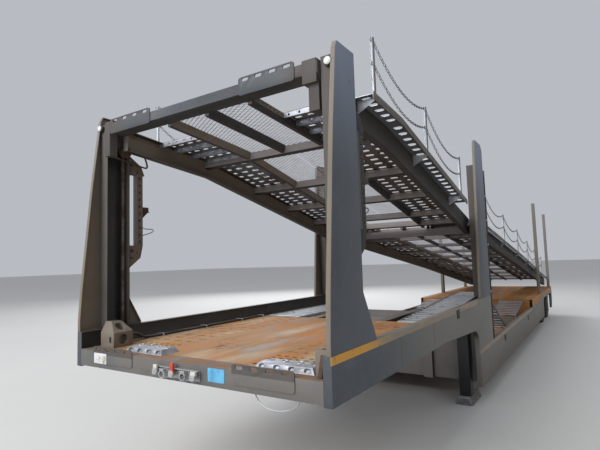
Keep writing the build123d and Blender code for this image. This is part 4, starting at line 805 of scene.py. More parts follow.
def edit(piece, *steps, test=None, kind="FACE"):
    """Runs operators with their settings in edit mode, on what passes a test or on everything."""
    only(piece)
    bpy.ops.object.mode_set(mode="EDIT")
    if test:
        bpy.ops.mesh.select_mode(type=kind)
        bpy.ops.mesh.select_all(action="DESELECT")
        mesh = bmesh.from_edit_mesh(piece.data)
        for part in {"FACE": mesh.faces, "EDGE": mesh.edges, "VERT": mesh.verts}[kind]:
            if test(part):
                part.select_set(True)
        mesh.select_flush_mode()
        bmesh.update_edit_mesh(piece.data)
    else:
        bpy.ops.mesh.select_all(action="SELECT")
    for operate, settings in steps:
        operate(**settings)
    bpy.ops.object.mode_set(mode="OBJECT")


MERGED = (bpy.ops.mesh.remove_doubles, {"threshold": MERGE})
FACED_OUT = (bpy.ops.mesh.normals_make_consistent, {"inside": False})


def slab(name, low, high, soft=0.0):
    """A plate or block between two corners, with softened edges."""
    middle = [(a + b) / 2 for a, b in zip(low, high)]
    piece = start(name, "cube", size=1, location=middle, scale=[abs(b - a) for a, b in zip(low, high)])
    return rounded(piece, soft)


def rod(name, start_at, end_at, radius, sides=16, soft=0.0):
    """A round bar from one point to another."""
    first, last = Vector(start_at), Vector(end_at)
    run_to = last - first
    piece = start(
        name, "cylinder", vertices=sides, radius=radius, depth=run_to.length, location=(first + last) / 2,
        rotation=run_to.to_track_quat("Z", "Y").to_euler(),
    )
    return rounded(piece, soft, 50)


def rod_x(name, from_x, to_x, y, z, *shape):
    """A round bar along x; its shape is the radius, the number of sides and the softened edge."""
    return rod(name, (from_x, y, z), (to_x, y, z), *shape)


def rod_y(name, x, from_y, to_y, z, *shape):
    """A round bar along y."""
    return rod(name, (x, from_y, z), (x, to_y, z), *shape)


def rod_z(name, x, y, from_z, to_z, *shape):
    """A round bar along z."""
    return rod(name, (x, y, from_z), (x, y, to_z), *shape)


def pipe(name, points, radius, sides=2):
    """A smooth wire or hose through these control points."""
    curve = bpy.data.curves.new(name, "CURVE")
    curve.dimensions = "3D"
    curve.bevel_depth = radius
    curve.bevel_resolution = sides
    curve.use_fill_caps = True
    spline = curve.splines.new("NURBS")
    spline.points.add(len(points) - 1)
    for point, at in zip(spline.points, points):
        point.co = (*at, 1)
    spline.order_u = 3
    spline.use_endpoint_u = True
    piece = bpy.data.objects.new(name, curve)
    bpy.context.scene.collection.objects.link(piece)
    only(piece)
    bpy.ops.object.convert(target="MESH")
    return bpy.context.object


def profile(name, corners, y, thickness, soft=0.0):
    """A flat plate with these corners in x and z and its middle at y."""
    piece = drawn(name, [(x, y, z) for x, z in corners], "NGON")
    modify(piece, "SOLIDIFY", thickness=thickness, offset=0)
    edit(piece, FACED_OUT)
    return rounded(piece, soft)


def joined(name, parts):
    """One piece out of several."""
    only(parts[0])
    for part in parts:
        part.select_set(True)
    if len(parts) > 1:
        bpy.ops.object.join()
    parts[0].name = name
    return parts[0]


def repeat(piece, places):
    """Puts a copy of the piece's mesh at each place, as one mesh."""
    source = piece.data
    count = len(source.vertices)
    points = numpy.empty(3 * count)
    source.vertices.foreach_get("co", points)
    points = points.reshape(-1, 3)
    faces = [tuple(face.vertices) for face in source.polygons]
    placed, all_faces = [], []
    for number, place_at in enumerate(places):
        matrix = numpy.array(place_at)
        placed.append(points @ matrix[:3, :3].T + matrix[:3, 3])
        order = -1 if place_at.determinant() < 0 else 1
        all_faces += [tuple(corner + number * count for corner in face[::order]) for face in faces]
    mesh = bpy.data.meshes.new(piece.name)
    mesh.from_pydata(numpy.concatenate(placed), [], all_faces)
    piece.data = mesh
    return piece


def both_sides(piece):
    """Mirrors a piece on the left to the right."""
    return repeat(piece, [HERE, sized(1, -1, 1)])


def round_axis(axis, count):
    """Even turns about an axis."""
    return [turned(i * math.tau / count, axis) for i in range(count)]


def finish(piece, material, body="chassis", replaced=(), smooth=35):
    """Gives a finished piece its coat and its body, and hides the nodes it stands for."""
    only(piece)
    bpy.ops.object.shade_smooth_by_angle(angle=math.radians(smooth))
    piece.data.materials.clear()
    piece.data.materials.append(bpy.data.materials[material])
    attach(piece, body)
    if replaced:
        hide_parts(*replaced)
    return piece


# Packed plates, beams and tubes with rounded edges

# Node and width of the rounded edge
SOFT_EDGES = {
    "side_panels": 0.003, "front_posts": 0.003, "second_posts": 0.003, "third_posts": 0.002,
    "rear_posts": 0.002, "post_boxes": 0.003, "post_struts": 0.002, "nose_beam": 0.003, "neck_tracks": 0.001,
    "nose_planks": 0.003, "front_deck_nose": 0.003, "front_deck_frame": 0.003, "rear_deck_frame": 0.003,
    "front_guides": 0.002, "second_guides": 0.002, "rear_guides": 0.002, "front_carriages": 0.002,
    "bridge": 0.003, "landing_legs": 0.006, "landing_feet": 0.002, "ladders": 0.002, "ladder_stands": 0.004,
    "tail_beam": 0.005, "trailing_arms": 0.005, "bulkhead": 0.003, "front_walkways": 0.001,
    "rear_walkways": 0.001, "front_deck_tracks": 0.001, "rear_deck_tracks": 0.001, "rims_1_left": 0.002,
    "rims_1_right": 0.002, "rims_2_left": 0.002, "rims_2_right": 0.002,
}


class TRAILER_OT_soft_edges(bpy.types.Operator):
    """Round the edges of the plates, beams and tubes as folding and rolling leave them"""

    bl_idname = "trailer.soft_edges"
    bl_label = "Rounded edges"

    def execute(self, context):
        for name, width in SOFT_EDGES.items():
            only(NODES[name])
            bpy.ops.object.duplicate()
            piece = bpy.context.object
            piece.name = f"{name}_finished"
            edit(piece, MERGED, (bpy.ops.mesh.dissolve_limited, {"angle_limit": FLAT}))
            rounded(piece, width, 40)
            finish(piece, piece.data.materials[0].name, BODY_OF[name], (name,))
        return {"FINISHED"}


# Deck lines: distance aft and height of the upper decks' tops, front to rear
FRONT_LINE = [(0.33, 3.155), (1.4, 3.05), (4.32, 2.392)]
REAR_LINE = [(4.61, 2.386), (9.0, 1.82), (13.9, 1.112)]
SHEET_DROP = 0.005


def deck_height(line, distance):
    """Height of a deck's top at a distance aft."""
    for (front, front_z), (rear, rear_z) in zip(line, line[1:]):
        if distance <= rear or rear == line[-1][0]:
            return front_z + (rear_z - front_z) * (distance - front) / (rear - front)


def deck_stretches(line, start_at, end_at):
    """The straight stretches of a deck line between two distances aft, with their lengths."""
    stations = [start_at, *[d for d, _ in line if start_at < d < end_at], end_at]
    points = [(d, deck_height(line, d)) for d in stations]
    return [(front, rear, math.dist(front, rear)) for front, rear in zip(points, points[1:])]


def deck_place(front, rear, left=0.0):
    """Frame on a stretch: origin at its front, x towards the rear, y to the right and z up."""
    run = Vector((front[0] - rear[0], 0, rear[1] - front[1])).normalized()
    across = Vector((0, -1, 0))
    turn = Matrix((run, across, run.cross(across))).transposed().to_4x4()
    return moved(aft(front[0]), left, front[1]) @ turn


# Expanded metal between the wheel tracks

# Size of a diamond along and across the deck
DIAMOND = (0.040, 0.072)
STRAND_WIDTH = 0.006
STRAND_SHEET = 0.0022
STRAND_TILT = math.radians(12)
MESH_BAYS = (0.44, -0.01)
MESH_WIDTH = 0.43
# Name, deck line, start and end aft, body
MESHES = [
    ("front_deck_mesh", FRONT_LINE, 0.34, 3.75, "front_deck"),
    ("rear_deck_mesh", REAR_LINE, 5.5, 13.85, "rear_deck"),
]
# Strands of a diamond: quarters of it along and across, and the way the strand leans
STRANDS = [(1, 1, -1), (1, 3, 1), (3, 1, 1), (3, 3, -1)]


def in_rows(piece, count, step_by):
    """Copies of a piece in a row, as one mesh."""
    return modify(
        piece, "ARRAY", count=count, use_relative_offset=False, use_constant_offset=True,
        constant_offset_displace=step_by,
    )


def expanded_sheet(name, length):
    """Rows of slanted strands that meet at their peaks, flat, from the origin along x and y."""
    rows, columns = round(length / DIAMOND[0]), round(MESH_WIDTH / DIAMOND[1])
    along, across = length / rows, MESH_WIDTH / columns
    reach, lean = math.hypot(along, across) / 2, math.atan2(along, across)
    size = (STRAND_WIDTH, reach + STRAND_SHEET, STRAND_SHEET)
    strand = start(name, "cube", size=1, scale=size, rotation=(0, -STRAND_TILT, 0))
    repeat(strand, [
        moved(x * along / 4, y * across / 4, 0) @ turned(way * lean, "Z") for x, y, way in STRANDS
    ])
    return in_rows(in_rows(strand, rows, (along, 0, 0)), columns, (0, across, 0))


class TRAILER_OT_meshes(bpy.types.Operator):
    """Make the expanded metal between the wheel tracks of the upper decks"""

    bl_idname = "trailer.meshes"
    bl_label = "Expanded metal"

    def execute(self, context):
        for name, line, start_at, end_at, body in MESHES:
            sheets = [
                repeat(expanded_sheet(name, length), [
                    deck_place(front, rear, left) @ moved(0, 0, -SHEET_DROP / 2) for left in MESH_BAYS
                ])
                for front, rear, length in deck_stretches(line, start_at, end_at)
            ]
            finish(joined(f"{name}_strands", sheets), "zinc_mesh", body, (name,))
        return {"FINISHED"}


# Raised rims round the holes of the upper tracks

RIM_GAP = 0.003
RIM_WIRE = 0.0035
TRACK_COLUMNS = [side * (0.47 + 0.63 * (i + 0.5) / 4) for side in SIDES for i in range(4)]
# Name, deck line, start, end, pitch, half length of the hole along and across, body
TRACK_RIMS = [
    ("front_track_rims", FRONT_LINE, 1.40, 4.29, 0.11, 0.020, 0.045, "front_deck"),
    ("rear_track_rims", REAR_LINE, 4.64, 13.9, 0.22, 0.030, 0.045, "rear_deck"),
]


def hole_collar(name, radius, wire, stretch=1.0):
    """The rim that pressing a hole raises, round the origin; stretch makes it oval across."""
    collar = start(name, "torus", major_radius=radius, minor_radius=wire, major_segments=18, minor_segments=6)
    flattened = (bpy.ops.transform.resize, {"value": (1, 1, 0), "center_override": (0, 0, -0.001)})
    edit(collar, flattened, test=lambda vertex: vertex.co.z < 0.0005, kind="VERT")
    for side in SIDES:
        if stretch > 1:
            pulled = (bpy.ops.transform.translate, {"value": (0, side * (stretch - 1) * radius, 0)})
            edit(collar, pulled, test=lambda vertex: vertex.co.y * side > 0.001, kind="VERT")
    return collar


class TRAILER_OT_track_rims(bpy.types.Operator):
    """Raise the rims round the holes of the upper decks' wheel tracks"""

    bl_idname = "trailer.track_rims"
    bl_label = "Track rims"

    def execute(self, context):
        for name, line, start_at, end_at, pitch, half, across, body in TRACK_RIMS:
            places = []
            for front, rear, length in deck_stretches(line, start_at, end_at):
                rows = int((length - pitch) / pitch) + 1
                for row in range(rows):
                    along = length / 2 + (row - (rows - 1) / 2) * pitch
                    places += [deck_place(front, rear) @ moved(along, -y, 0) for y in TRACK_COLUMNS]
            rims = repeat(hole_collar(name, half + RIM_GAP, RIM_WIRE, across / half), places)
            finish(rims, "drive_zinc", body)
        return {"FINISHED"}


# Folded fronts of the planks, and perforated strips beside the deck's rails

PLANK_PITCH = 0.65 / 3
PLANK_FRONTS = [0.75 + i * PLANK_PITCH for i in range(3)]
PLANK_GAP = 0.024
PLANK_MIDDLE = 0.785
FLANGE_SIZE = (0.63, 0.045, 0.003)
STRIP_SIZE = (0.42, 0.042, 0.004)
STRIP_MIDDLE = 0.335 + STRIP_SIZE[0] / 2
STRIP_DROP = 0.006
# y and turn of a strip
STRIPS = [(0.4705, 0), (-0.4295, 0), (-1.089, 0), (1.089, math.pi)]


def perforated(name, size, holes, radius):
    """A thin upright strip along x with a row of round holes, its top at z 0 and its face at y 0."""
    length, depth, wall = size
    strip = slab(name, (-length / 2, -wall, -depth), (length / 2, 0, 0), wall / 3)
    drill = joined("drill", [
        rod_y("drill", (i - (holes - 1) / 2) * length / holes, -2 * wall, wall, -depth / 2, radius, 14)
        for i in range(holes)
    ])
    modify(strip, "BOOLEAN", object=drill, operation="DIFFERENCE", solver="EXACT")
    bpy.data.objects.remove(drill)
    return strip


class TRAILER_OT_planks(bpy.types.Operator):
    """Fold the fronts of the front deck's planks and fix the perforated strips beside its rails"""

    bl_idname = "trailer.planks"
    bl_label = "Planks"

    def execute(self, context):
        edges = [(d, 1) for d in PLANK_FRONTS] + [(d + PLANK_PITCH - PLANK_GAP, -1) for d in PLANK_FRONTS]
        flanges = repeat(perforated("plank_flanges", FLANGE_SIZE, 6, 0.0105), [
            moved(aft(d), side * PLANK_MIDDLE, deck_height(FRONT_LINE, d) - SHEET_DROP)
            @ turned(math.radians(-90) * facing, "Z")
            for d, facing in edges for side in SIDES
        ])
        finish(flanges, "bright_zinc", "front_deck")
        front, rear = FRONT_LINE[:2]
        fall = math.atan2(front[1] - rear[1], rear[0] - front[0])
        z = deck_height(FRONT_LINE, STRIP_MIDDLE) - STRIP_DROP
        strips = repeat(perforated("rail_strips", STRIP_SIZE, 8, 0.009), [
            moved(aft(STRIP_MIDDLE), y, z) @ turned(-fall, "Y") @ turned(turn, "Z") for y, turn in STRIPS
        ])
        finish(strips, "dusty_steel", "front_deck")
        return {"FINISHED"}


# Chains between the railing posts

LINK_WIRE = 0.0032
LINK_HALF = 0.0095
LINK_STRETCH = 0.0115
LINK_LEAN = 12
CHAIN_SAG = 0.13
# Name, deck line, y of the posts, places of the posts, height of the posts, body
CHAINS = [
    ("front_chains", FRONT_LINE, 1.243, (0.86, 2.1, 3.35), 0.47, "front_deck"),
    ("rear_chains", REAR_LINE, 1.164, (5.2, 6.7, 8.3, 9.8, 11.2, 12.6), 0.5, "rear_deck"),
]
POST_RADIUS = 0.017
# Share of the post's height and lift of the chains' ends
CHAIN_LEVELS = ((1.0, -0.02), (0.55, 0.0))


def chain_link(name):
    """One link along x: a ring drawn out lengthwise."""
    link = start(
        name, "torus", major_segments=8, minor_segments=4, major_radius=LINK_HALF, minor_radius=LINK_WIRE
    )
    for side in SIDES:
        pulled = (bpy.ops.transform.translate, {"value": (side * LINK_STRETCH, 0, 0)})
        edit(link, pulled, test=lambda vertex: vertex.co.x * side > LINK_WIRE, kind="VERT")
    return link


def chain_places(first, last):
    """Places of the links of a chain that hangs from one point to another."""
    span = last - first
    pitch = 2 * (LINK_HALF + LINK_STRETCH - LINK_WIRE)
    count = math.ceil(span.length * (1 + 8 / 3 * (CHAIN_SAG / span.length) ** 2) / pitch)
    for i in range(count):
        share = (i + 0.5) / count
        at = first + span * share - Vector((0, 0, 4 * CHAIN_SAG * share * (1 - share)))
        along = towards(span - Vector((0, 0, 4 * CHAIN_SAG * (1 - 2 * share))), "X", "Z")
        yield Matrix.Translation(at) @ along @ turned(math.radians(90 * (i % 2) + LINK_LEAN), "X")


class TRAILER_OT_chains(bpy.types.Operator):
    """Hang the chains between the railing posts"""

    bl_idname = "trailer.chains"
    bl_label = "Chains"

    def execute(self, context):
        for name, line, y, posts, rise, body in CHAINS:
            places = []
            for bay in zip(posts, posts[1:]):
                for share, lift in CHAIN_LEVELS:
                    for side in SIDES:
                        ends = [
                            Vector((aft(d) + shift, side * y, deck_height(line, d) + rise * share + lift))
                            for d, shift in zip(bay, (-POST_RADIUS, POST_RADIUS))
                        ]
                        places += chain_places(*ends)
            finish(repeat(chain_link(f"{name}_links"), places), "zinc_steel", body, (name,))
        return {"FINISHED"}


# Wheels

WHEEL_STEPS = 72
GROOVE = 0.009
BLOCK_DEPTH = 0.006
# Distances from the tyre's middle between which its shoulder blocks lie, and how deep that band reaches
SHOULDER = (0.062, 0.104)
SHOULDER_REACH = 0.02
BLOCK_STEPS = 3
TYRE_MIDDLE = 1.08
TWIN_SPACING = 0.279
TYRE_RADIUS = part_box("tyres_1_left")[1].z / 2
# Half of the tyre's section, from the middle of the tread to the bead: across, radius
TYRE_SECTION = [
    (0.009, 0.0), (0.011, -GROOVE), (0.019, -GROOVE), (0.021, 0.0), (0.047, -0.0008), (0.049, -GROOVE),
    (0.058, -GROOVE), (0.060, -0.001), (0.090, -0.004), (0.104, -0.014), (0.114, -0.036), (0.118, -0.050),
    (0.122, -0.085), (0.1225, -0.108), (0.118, -0.130), (0.108, -0.150), (0.098, -0.160), (0.094, -0.1725),
    (0.080, -0.1725), (0.098, -0.140), (0.110, -0.105), (0.106, -0.055), (0.085, -0.028),
]
NUT_CIRCLE = 0.127
NUTS = 10
CAP_CIRCLE = 0.086
CAP_BOLTS = 8
DISC_FACE = 0.9525


def spun_tyre(name):
    """A tyre about the y axis: its section spun round, with blocks cut into its shoulders."""
    section = TYRE_SECTION + [(-across, drop) for across, drop in reversed(TYRE_SECTION)]
    tyre = drawn(name, [(TYRE_RADIUS + drop, across, 0) for across, drop in section])
    whole_turn = {"steps": WHEEL_STEPS, "angle": math.tau, "center": (0, 0, 0), "axis": (0, 1, 0)}
    select_all = (bpy.ops.mesh.select_all, {"action": "SELECT"})
    edit(tyre, (bpy.ops.mesh.spin, whole_turn), select_all, MERGED, FACED_OUT)

    def in_gap(face):
        at = face.calc_center_median()
        turn = int(math.atan2(at.z, at.x) / math.tau * WHEEL_STEPS // 1)
        on_shoulder = SHOULDER[0] < abs(at.y) < SHOULDER[1] and at.xz.length > TYRE_RADIUS - SHOULDER_REACH
        return on_shoulder and turn % BLOCK_STEPS == 0

    edit(
        tyre,
        (bpy.ops.mesh.inset, {"thickness": 0.004, "use_individual": False}),
        (bpy.ops.transform.shrink_fatten, {"value": -BLOCK_DEPTH}),
        test=in_gap,
    )
    return tyre


def wheel_nuts(name):
    """Nuts on their studs round the y axis, with the hub's ring of small bolts."""
    nuts = repeat(joined(name, [
        rod_y(name, NUT_CIRCLE, 0, 0.026, 0, 0.0165, 6, 0.002),
        rod_y("flange", NUT_CIRCLE, 0, 0.005, 0, 0.021, 12),
        rod_y("stud", NUT_CIRCLE, 0.024, 0.042, 0, 0.0105, 8, 0.0015),
    ]), round_axis("Y", NUTS))
    cap = repeat(rod_y("cap_bolt", CAP_CIRCLE, 0.158, 0.168, 0, 0.008, 6, 0.001), round_axis("Y", CAP_BOLTS))
    return joined(name, [nuts, cap])


class TRAILER_OT_wheels(bpy.types.Operator):
    """Make the tyres with their tread, and the wheel nuts"""

    bl_idname = "trailer.wheels"
    bl_label = "Wheels"

    def execute(self, context):
        for wheel, side in (("1_left", 1), ("1_right", -1), ("2_left", 1), ("2_right", -1)):
            low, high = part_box(f"tyres_{wheel}")
            axle = moved((low.x + high.x) / 2, 0, TYRE_RADIUS) @ sized(1, side, 1)
            tyres = repeat(spun_tyre(f"treaded_tyres_{wheel}"), [
                axle @ moved(0, middle, 0) for middle in (TYRE_MIDDLE, TYRE_MIDDLE - TWIN_SPACING)
            ])
            finish(tyres, "tyre_rubber", f"wheels_{wheel}", (f"tyres_{wheel}",), smooth=30)
            nuts = repeat(wheel_nuts(f"wheel_nuts_{wheel}"), [axle @ moved(0, DISC_FACE, 0)])
            finish(nuts, "oiled_steel", f"wheels_{wheel}")
        return {"FINISHED"}


# Nose fittings

PLANK_FOOT = 1.167
PLANK_HEIGHT = 0.038
PLANK_SLOPE = math.radians(35)
PLANK_START = 0.100
PLANK_HOLE_BACK = 0.218
PLANK_SPANS = ((0.620, 1.095), (-0.745, -0.300))
# y of the holes in the tops and slanted fronts of the planks
PLANK_HOLES = [low + (high - low) * (i + 0.5) / 4 for low, high in PLANK_SPANS for i in range(4)]
COLLAR_RADIUS = 0.0245
COLLAR_WIRE = 0.0045
# Half size of a front hole across and along the slant
FRONT_HOLE = (0.022, 0.013)
FRONT_WIRE = 0.0035
# Corners of a leaning bar as distance aft and z, its y and its thickness
LEANING_BARS = [
    ([(0.118, 1.335), (0.103, 1.335), (0.045, 1.172), (0.060, 1.172)], 1.165, 0.030),
    ([(0.212, 1.325), (0.196, 1.325), (0.157, 1.172), (0.173, 1.172)], 1.160, 0.026),
]
COUPLER_PLATE = [(NOSE_X, -0.215, 1.052), (NOSE_X + 0.006, 0.228, 1.128)]
COUPLER_FOLD = [(NOSE_X, -0.215, 1.124), (NOSE_X + 0.032, 0.228, 1.130)]
# Middle y, middle z
SOCKETS = [(-0.114, 1.082), (0.101, 1.086)]
AIR_HEADS = [(-0.192, 1.098), (-0.018, 1.095), (0.196, 1.092)]
CONTACTS = 6
CONTACT_CIRCLE = 0.013
# Name, material, gap behind it, middle y and z, width, height, nodes it stands for
BLANK_PLATES = [
    ("white_blank_plate", "white_plate", 0.008, -0.925, 1.113, 0.168, 0.085, ("nose_plates",)),
    ("blue_blank_plate", "blue_plate", 0.0, 0.375, 1.112, 0.152, 0.092, ()),
]
NOSE_WIRE = [
    (0.05, 0.665, 1.045), (0.05, 0.672, 1.0), (0.045, 0.74, 0.945), (0.05, 0.86, 0.93), (0.055, 0.98, 0.965),
    (0.05, 1.022, 1.01), (0.05, 1.02, 1.045),
]


def bolt(name, radius, height):
    """A hexagon head on a washer, standing on the origin along z."""
    return joined(name, [
        rod_z(name, 0, 0, 0.002, height, radius, 6, radius * 0.12),
        rod_z("washer", 0, 0, 0, 0.0025, radius * 1.35, 14),
    ])


def cable_socket(y, z):
    """A round socket for a cable, open in front, with its contacts."""
    front = NOSE_X + 0.056
    body = rod_x("body", NOSE_X, front, y, z, 0.030, 24, 0.002)
    edit(
        body,
        (bpy.ops.mesh.inset, {"thickness": 0.006}),
        (bpy.ops.mesh.extrude_region_move, {"TRANSFORM_OT_translate": {"value": (-0.034, 0, 0)}}),
        test=lambda face: face.normal.x > 0.9 and face.calc_area() > 0.001,
    )
    ring = [moved(*(turn @ Vector((0, CONTACT_CIRCLE, 0)))) for turn in round_axis("X", CONTACTS)]
    contacts = repeat(rod_x("contacts", front - 0.036, front - 0.010, y, z, 0.0028, 8), [HERE, *ring])
    return joined("cable_socket", [
        body, contacts,
        rod_x("flange", NOSE_X + 0.004, NOSE_X + 0.014, y, z, 0.038, 20, 0.002),
        rod_y("hinge", front - 0.006, y - 0.024, y + 0.024, z + 0.033, 0.006, 10, 0.001),
    ])


def air_head(y, z):
    """A palm-shaped coupling for an air line."""
    front = NOSE_X + 0.046
    return joined("air_head", [
        rod_x("stem", NOSE_X, front, y, z, 0.013, 14, 0.002),
        rod_x("nut", NOSE_X + 0.006, NOSE_X + 0.022, y, z, 0.021, 6, 0.002),
        rod_x("palm", front - 0.012, front + 0.01, y, z - 0.004, 0.026, 18, 0.004),
        slab("claw", (front - 0.008, y - 0.034, z - 0.03), (front + 0.004, y + 0.012, z - 0.014), 0.004),
    ])


def blank_plate(name, x, y, z, width, tall):
    """A thin plate on the nose, held by two rivets."""
    rivets = repeat(rod_z("rivets", 0, 0, 0, 0.0045, 0.004, 10, 0.001), [
        moved(x, y + side * (width / 2 - 0.012), z) @ towards((1, 0, 0)) for side in SIDES
    ])
    low, high = (x, y - width / 2, z - tall / 2), (x + 0.003, y + width / 2, z + tall / 2)
    return joined(name, [slab(name, low, high, 0.001), rivets])


class TRAILER_OT_nose(bpy.types.Operator):
    """Make the couplings, plates, wire, leaning bars and pressed plank holes at the nose"""

    bl_idname = "trailer.nose"
    bl_label = "Nose fittings"

    def execute(self, context):
        heads = [cable_socket(*at) for at in SOCKETS] + [air_head(*at) for at in AIR_HEADS]
        heads += [slab("plate", *COUPLER_PLATE, 0.002), slab("fold", *COUPLER_FOLD, 0.002)]
        finish(joined("coupling_heads", heads), "cast_alloy", replaced=("couplers",))
        handle = joined("coupling_handle", [
            slab("blade", (NOSE_X + 0.03, -0.034, 1.088), (NOSE_X + 0.05, 0.0, 1.172), 0.006),
            rod_y("knuckle", NOSE_X + 0.04, -0.04, 0.006, 1.096, 0.016, 14, 0.003),
        ])
        finish(handle, "signal_red")
        cover = joined("coupling_covers", [
            slab("upright", (NOSE_X + 0.034, -0.212, 1.11), (NOSE_X + 0.052, -0.17, 1.143), 0.006),
            slab("leaning", (NOSE_X + 0.036, 0.182, 1.10), (NOSE_X + 0.058, 0.232, 1.131), 0.006),
        ])
        finish(cover, "pale_plastic")
        for name, material, gap, *at_and_size, replaced in BLANK_PLATES:
            plate = blank_plate(name, NOSE_X + gap, *at_and_size)
            finish(plate, material, replaced=replaced)
        finish(pipe("nose_wire", behind(*NOSE_WIRE), 0.0038), "zinc_steel")
        top_rims = repeat(hole_collar("plank_collars", COLLAR_RADIUS, COLLAR_WIRE), [
            moved(aft(PLANK_HOLE_BACK), y, PLANK_FOOT + PLANK_HEIGHT) for y in PLANK_HOLES
        ])
        reach, half = FRONT_HOLE
        rim = half + FRONT_WIRE
        slant_x = aft(PLANK_START) - PLANK_HEIGHT / 2 * math.tan(PLANK_SLOPE)
        front_rims = repeat(hole_collar("front_rims", rim, FRONT_WIRE, 1 + (reach - half) / rim), [
            moved(slant_x, y, PLANK_FOOT + PLANK_HEIGHT / 2) @ turned(math.pi / 2 - PLANK_SLOPE, "Y")
            for y in PLANK_HOLES
        ])
        finish(joined("plank_collars", [top_rims, front_rims]), "bright_zinc")
        bars = [profile("bar", behind(*corners), *shape, 0.002) for corners, *shape in LEANING_BARS]
        finish(joined("leaning_bars", bars), "rusty_iron")
        return {"FINISHED"}


# Fittings on the front posts

GUIDE_FRONT = aft(0.205)
# y, z
MARKER_LAMPS = [(1.222, 3.148), (-1.236, 3.163)]
ROLLER_X = aft(0.365)
ROLLER_Z = 2.952
ROLLER_CHEEK = [(0.31, 2.99), (0.425, 2.99), (0.405, 2.918), (0.33, 2.918)]
LATCH_ROD = [
    (0.18, -1.115, 2.905), (0.235, -1.128, 2.896), (0.291, -1.13, 2.884), (0.416, -1.13, 2.868),
    (0.57, -1.13, 2.842), (0.634, -1.13, 2.838), (0.622, -1.13, 2.9), (0.60, -1.13, 2.944),
]
SHELF_WEB = [(0.600, 2.40), (0.698, 2.408), (0.588, 2.30)]
SHELF_WIRE = [
    (0.595, 1.2, 2.28), (0.611, 1.2, 2.263), (0.645, 1.2, 2.236), (0.751, 1.2, 2.24), (0.76, 1.2, 2.218),
    (0.727, 1.2, 2.2), (0.622, 1.2, 2.171), (0.6, 1.2, 2.16),
]
# Distance aft and z of the gussets' bolts
GUSSET_BOLTS = [(0.49, 2.80), (0.49, 2.86), (0.56, 2.79), (0.49, 1.95), (0.49, 2.02), (0.56, 2.0)]
GUSSET_FACE = 1.185


def marker_foot(y, z):
    """Rubber foot of a round marker lamp that looks ahead."""
    return joined("marker_foot", [
        rod_x("foot", GUIDE_FRONT, GUIDE_FRONT + 0.018, y, z, 0.034, 24, 0.004),
        rod_x("neck", GUIDE_FRONT + 0.014, GUIDE_FRONT + 0.03, y, z, 0.029, 24, 0.004),
    ])


def marker_dome(y, z):
    """Clear dome of a round marker lamp."""
    dome = start("marker_dome", "uv_sphere", segments=24, ring_count=12, radius=0.027)
    return repeat(dome, [moved(GUIDE_FRONT + 0.028, y, z) @ sized(0.55, 1, 1)])


class TRAILER_OT_front_posts(bpy.types.Operator):
    """Make the lamps, rollers, rods, shelves and bolts at the front posts"""

    bl_idname = "trailer.front_posts"
    bl_label = "Front post fittings"

    def execute(self, context):
        finish(joined("marker_feet", [marker_foot(*at) for at in MARKER_LAMPS]), "black_rubber")
        domes = joined("marker_domes", [marker_dome(*at) for at in MARKER_LAMPS])
        finish(domes, "clear_lens", smooth=60)
        roller = joined("deck_rollers", [
            rod_y("tread", ROLLER_X, 1.092, 1.122, ROLLER_Z, 0.055, 28, 0.004),
            rod_y("boss", ROLLER_X, 1.082, 1.124, ROLLER_Z, 0.022, 16, 0.002),
            rod_y("pin", ROLLER_X, 1.076, 1.148, ROLLER_Z, 0.011, 12, 0.001),
            profile("cheek", behind(*ROLLER_CHEEK), 1.136, 0.024, 0.002),
        ])
        finish(both_sides(roller), "rusty_iron", "front_deck")
        finish(pipe("latch_rod", behind(*LATCH_ROD), 0.0085), "rusty_iron", "front_deck")
        shelf = joined("post_shelves", [
            profile("web", behind(*SHELF_WEB), 1.212, 0.008, 0.001),
            slab("top", (aft(0.70), 1.186, 2.404), (aft(0.575), 1.244, 2.412), 0.002),
            slab("block", (aft(0.695), 1.19, 2.41), (aft(0.61), 1.24, 2.456), 0.006),
            pipe("wire", behind(*SHELF_WIRE), 0.004),
        ])
        finish(both_sides(shelf), "rusty_iron")
        bolts = repeat(bolt("gusset_bolts", 0.013, 0.014), [
            moved(aft(d), side * GUSSET_FACE, z) @ towards((0, -side, 0))
            for side in SIDES for d, z in GUSSET_BOLTS
        ])
        finish(bolts, "oiled_steel")
        return {"FINISHED"}


# Threaded screws that lift the front of the upper deck

SCREW_PITCH = 0.012
SCREW_STEPS = 14
SCREW_INSET = 0.02
SCREW_HEAD = 0.0195
# Radius, height in a turn
THREAD_TOOTH = [(0.0165, 0.0), (0.0198, 0.003), (0.0198, 0.0065), (0.0165, 0.0095), (0.0165, SCREW_PITCH)]


class TRAILER_OT_lift_screws(bpy.types.Operator):
    """Cut the threads of the lifting screws"""

    bl_idname = "trailer.lift_screws"
    bl_label = "Lifting screws"

    def execute(self, context):
        low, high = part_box("lift_screws")
        x, y = (low.x + high.x) / 2, high.y - SCREW_INSET
        thread = drawn("threaded_screws", [(radius, 0, z) for radius, z in THREAD_TOOTH])
        ends = {0, len(THREAD_TOOTH) - 1}
        opened = (bpy.ops.mesh.delete, {"type": "EDGE"})
        edit(thread, opened, test=lambda edge: {vertex.index for vertex in edge.verts} == ends, kind="EDGE")
        modify(
            thread, "SCREW", angle=math.tau, screw_offset=SCREW_PITCH, steps=SCREW_STEPS,
            render_steps=SCREW_STEPS, iterations=int((high.z - low.z) / SCREW_PITCH),
            use_merge_vertices=True, merge_threshold=MERGE,
        )
        edit(thread, FACED_OUT)
        screws = both_sides(joined("threaded_screws", [
            repeat(thread, [moved(x, y, low.z)]),
            rod_z("screw_end", x, y, low.z, low.z + 0.03, SCREW_HEAD, 16, 0.002),
            rod_z("screw_head", x, y, high.z - 0.034, high.z, SCREW_HEAD, 6, 0.002),
        ]))
        finish(screws, "oiled_steel", replaced=("lift_screws",))
        return {"FINISHED"}


# Hoses along the right edge of the neck deck

